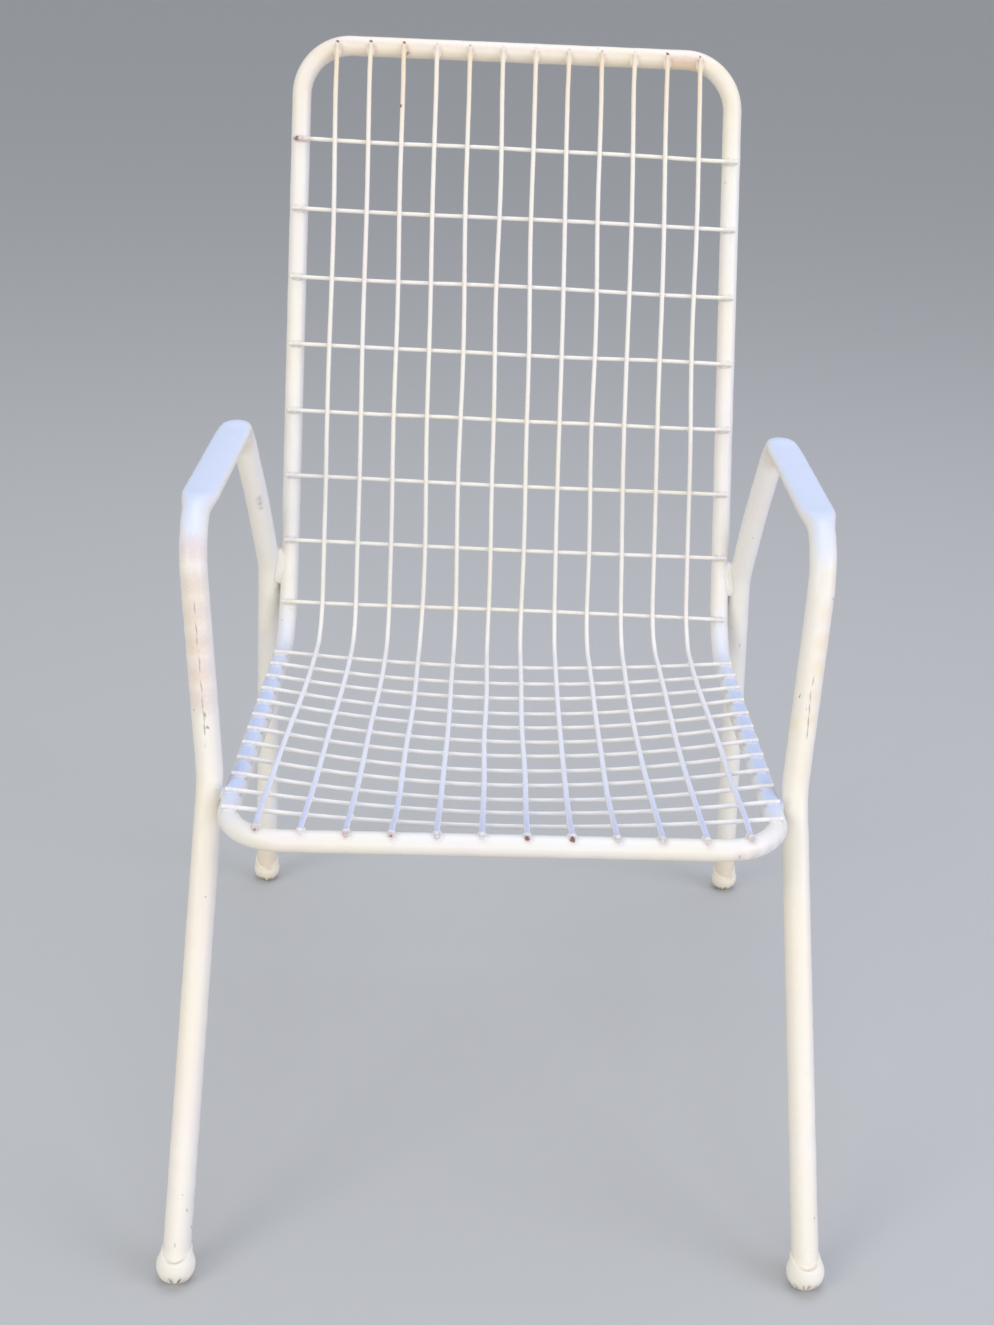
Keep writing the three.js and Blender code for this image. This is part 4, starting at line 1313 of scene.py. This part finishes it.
# %% The rubber's finish
rubber = Finish(bpy.data.materials.new("painted rubber"))
rubber_place = rubber.node("ShaderNodeTexCoord", output="Object")
rubber_fine = rubber.noise(rubber_place, 380.0, 3.0)
rubber_patches = rubber.between(rubber.noise(rubber_place, 60.0), 0.35, 0.68)
worn = rubber.attribute("grime") * rubber.between(rubber_fine, 0.25, 0.60)
notched = rubber.attribute("rust") * rubber.between(rubber_fine, 0.30, 0.55)
rubber_color = rubber.layered(rgba(0.85, 0.82, 0.75), [
    (rubber_patches, rgba(0.85, 0.79, 0.71)),
    # bluish painted sky reflection on the caps' upper faces
    (rubber.attribute("sky") * 0.6, rgba(0.76, 0.77, 0.88)),
    (rubber.attribute("aged") * 0.85, rgba(0.86, 0.75, 0.54)),
    (worn * 0.75, rgba(0.45, 0.43, 0.30)),
    (notched * 0.85, rgba(0.16, 0.14, 0.10)),
])
rubber.surface(
    {"Base Color": rubber_color, "Roughness": 0.52 + rubber_fine * 0.15 + worn * 0.15},
    rubber_fine * 0.6 + rubber_patches * 0.3, 0.5, 0.0006)

# %% Sizes of the caps
FRONT_CAP_RADIUS, REAR_CAP_RADIUS = 0.0171, 0.0152
FRONT_CAP_DIP, REAR_CAP_DIP = 0.0125, 0.006
CAP_FLAT, CAP_RIM_RISE, CAP_BACK_RISE, CAP_RIM_WALL = 0.0015, 0.0150, 0.004, 0.0007
CAP_SIDES, LIP_REACH = 56, 0.0008
NOTCH_HEIGHT, NOTCH_SPREAD, NOTCH_DEPTH, CRUMPLE_DEPTH = 0.0045, 0.0055, 0.0009, 0.0006
NARROWEST, NOTCHED_FROM_RADIUS = 0.86, 0.004


# %% A cap as a turned shape with a sloping rim
def cap_surface(ball_height, belly, dip, angles):
    """Radius and height on a grid of profile and angle: a ball up to its belly, then the ball or
    the collar, whichever is wider, up to a rim that dips in front, then a lip rolled inwards."""
    ahead = -np.sin(angles)
    rim_rise = CAP_RIM_RISE - dip * ahead.clip(0) ** 1.5 + CAP_BACK_RISE * (-ahead).clip(0)
    under = np.radians(np.linspace(-84, 0, 15))[:, None] + 0 * angles
    height = np.linspace(0.07, 1, 10)[:, None] * rim_rise
    collar = LEG_RADIUS + SIDE_GAP + CAP_RIM_WALL
    ball = np.sqrt(np.maximum(belly ** 2 - height ** 2, 0))
    radius = (ball ** 12 + collar ** 12) ** (1 / 12)
    roll = np.radians(np.linspace(25, 180, 8))[:, None]
    lip = (radius[-1] - LEG_RADIUS + LIP_REACH) / 2
    lip_radius = radius[-1] - lip * (1 - np.cos(roll))
    lip_height = rim_rise + 0.3 * lip * np.sin(roll)
    inside = np.array([LEG_RADIUS - 0.002, 0.005])[:, None] + 0 * angles
    inside_height = rim_rise - np.array([0.003, 0.004])[:, None]
    radii = np.concatenate([belly * np.cos(under), radius, lip_radius, inside])
    heights = np.concatenate([belly * np.sin(under), height, lip_height, inside_height])
    return radii, ball_height + heights


def waves(rng, angles, turns):
    """A sum of waves round the cap, each with a start of its own."""
    return sum(np.sin(turn * angles + rng.uniform(0, 6.28)) for turn in turns)


def foot_cap(floor_point, leg_up, belly, dip, seed):
    """The turned surface set round the leg's axis, notched and crumpled near the floor, never
    narrower there than its share of the belly, and cut flat on the floor."""
    rng = np.random.default_rng(seed)
    angles = 2 * np.pi * np.arange(CAP_SIDES) / CAP_SIDES
    radii, heights = cap_surface((belly - CAP_FLAT) / leg_up[2], belly, dip, angles)
    side = unit(np.array([1.0, 0, 0]) - leg_up[0] * leg_up)
    back = np.cross(leg_up, side)
    low = faded(np.abs(heights - NOTCH_HEIGHT), NOTCH_SPREAD) * (radii > NOTCHED_FROM_RADIUS)
    notches = waves(rng, angles, (7, 11, 16, 23))
    crumples = waves(rng, angles, (2, 3, 5))
    uneven = NOTCH_DEPTH * (notches - 0.8) + CRUMPLE_DEPTH * (crumples - 0.5)
    widened = radii + low * uneven * (radii / belly)
    radii = np.minimum(widened, np.maximum(radii, NARROWEST * belly))
    rings = floor_point + heights[..., None] * leg_up + radii[..., None] * (
        np.cos(angles)[:, None] * side + np.sin(angles)[:, None] * back)
    rings[..., 2] = rings[..., 2].clip(0)
    deep = (low * np.clip(-notches / 2.2, 0, 1)).ravel()
    return rings, np.append(deep, [0, 0])


# %% Place the caps
SLIT = np.array([-0.0065, -0.0140, 0.004]) + np.arange(4)[:, None] * [-0.0005, -0.0004, 0.002]
cap_rows = [
    ("front_foot_cap", front_floor, front_leg_up, FRONT_CAP_RADIUS, FRONT_CAP_DIP, 0.15),
    ("rear_foot_cap", rear_floor, rear_leg_up, REAR_CAP_RADIUS, REAR_CAP_DIP, 0.5),
]
for kind, floor_point, leg_up, belly, dip, age in cap_rows:
    for side, mirror in SIDES.items():
        standing = floor_point * mirror
        seed = 40 + mirror[0] + int(belly * 1e4)
        rings, deep = foot_cap(standing, leg_up * mirror, belly, dip, seed)
        points, faces = skins(rings[None])
        smudges = [mark(standing + [0.005, -belly, 0.024], 0.008, 0.8 * age)]
        if kind == "front_foot_cap" and side == "right":
            smudges += [mark(standing + offset, 0.0030, 1.5) for offset in SLIT]
        add_piece(f"worn_{side}_{kind}", points, faces, rubber, "foot_cap", f"{side}_{kind}",
                  painted_sky_share=0.2, rust=np.maximum(1.5 * deep, marks_on(points, smudges)),
                  grime=faded(points[:, 2], 0.010), aged=np.full(len(points), age))
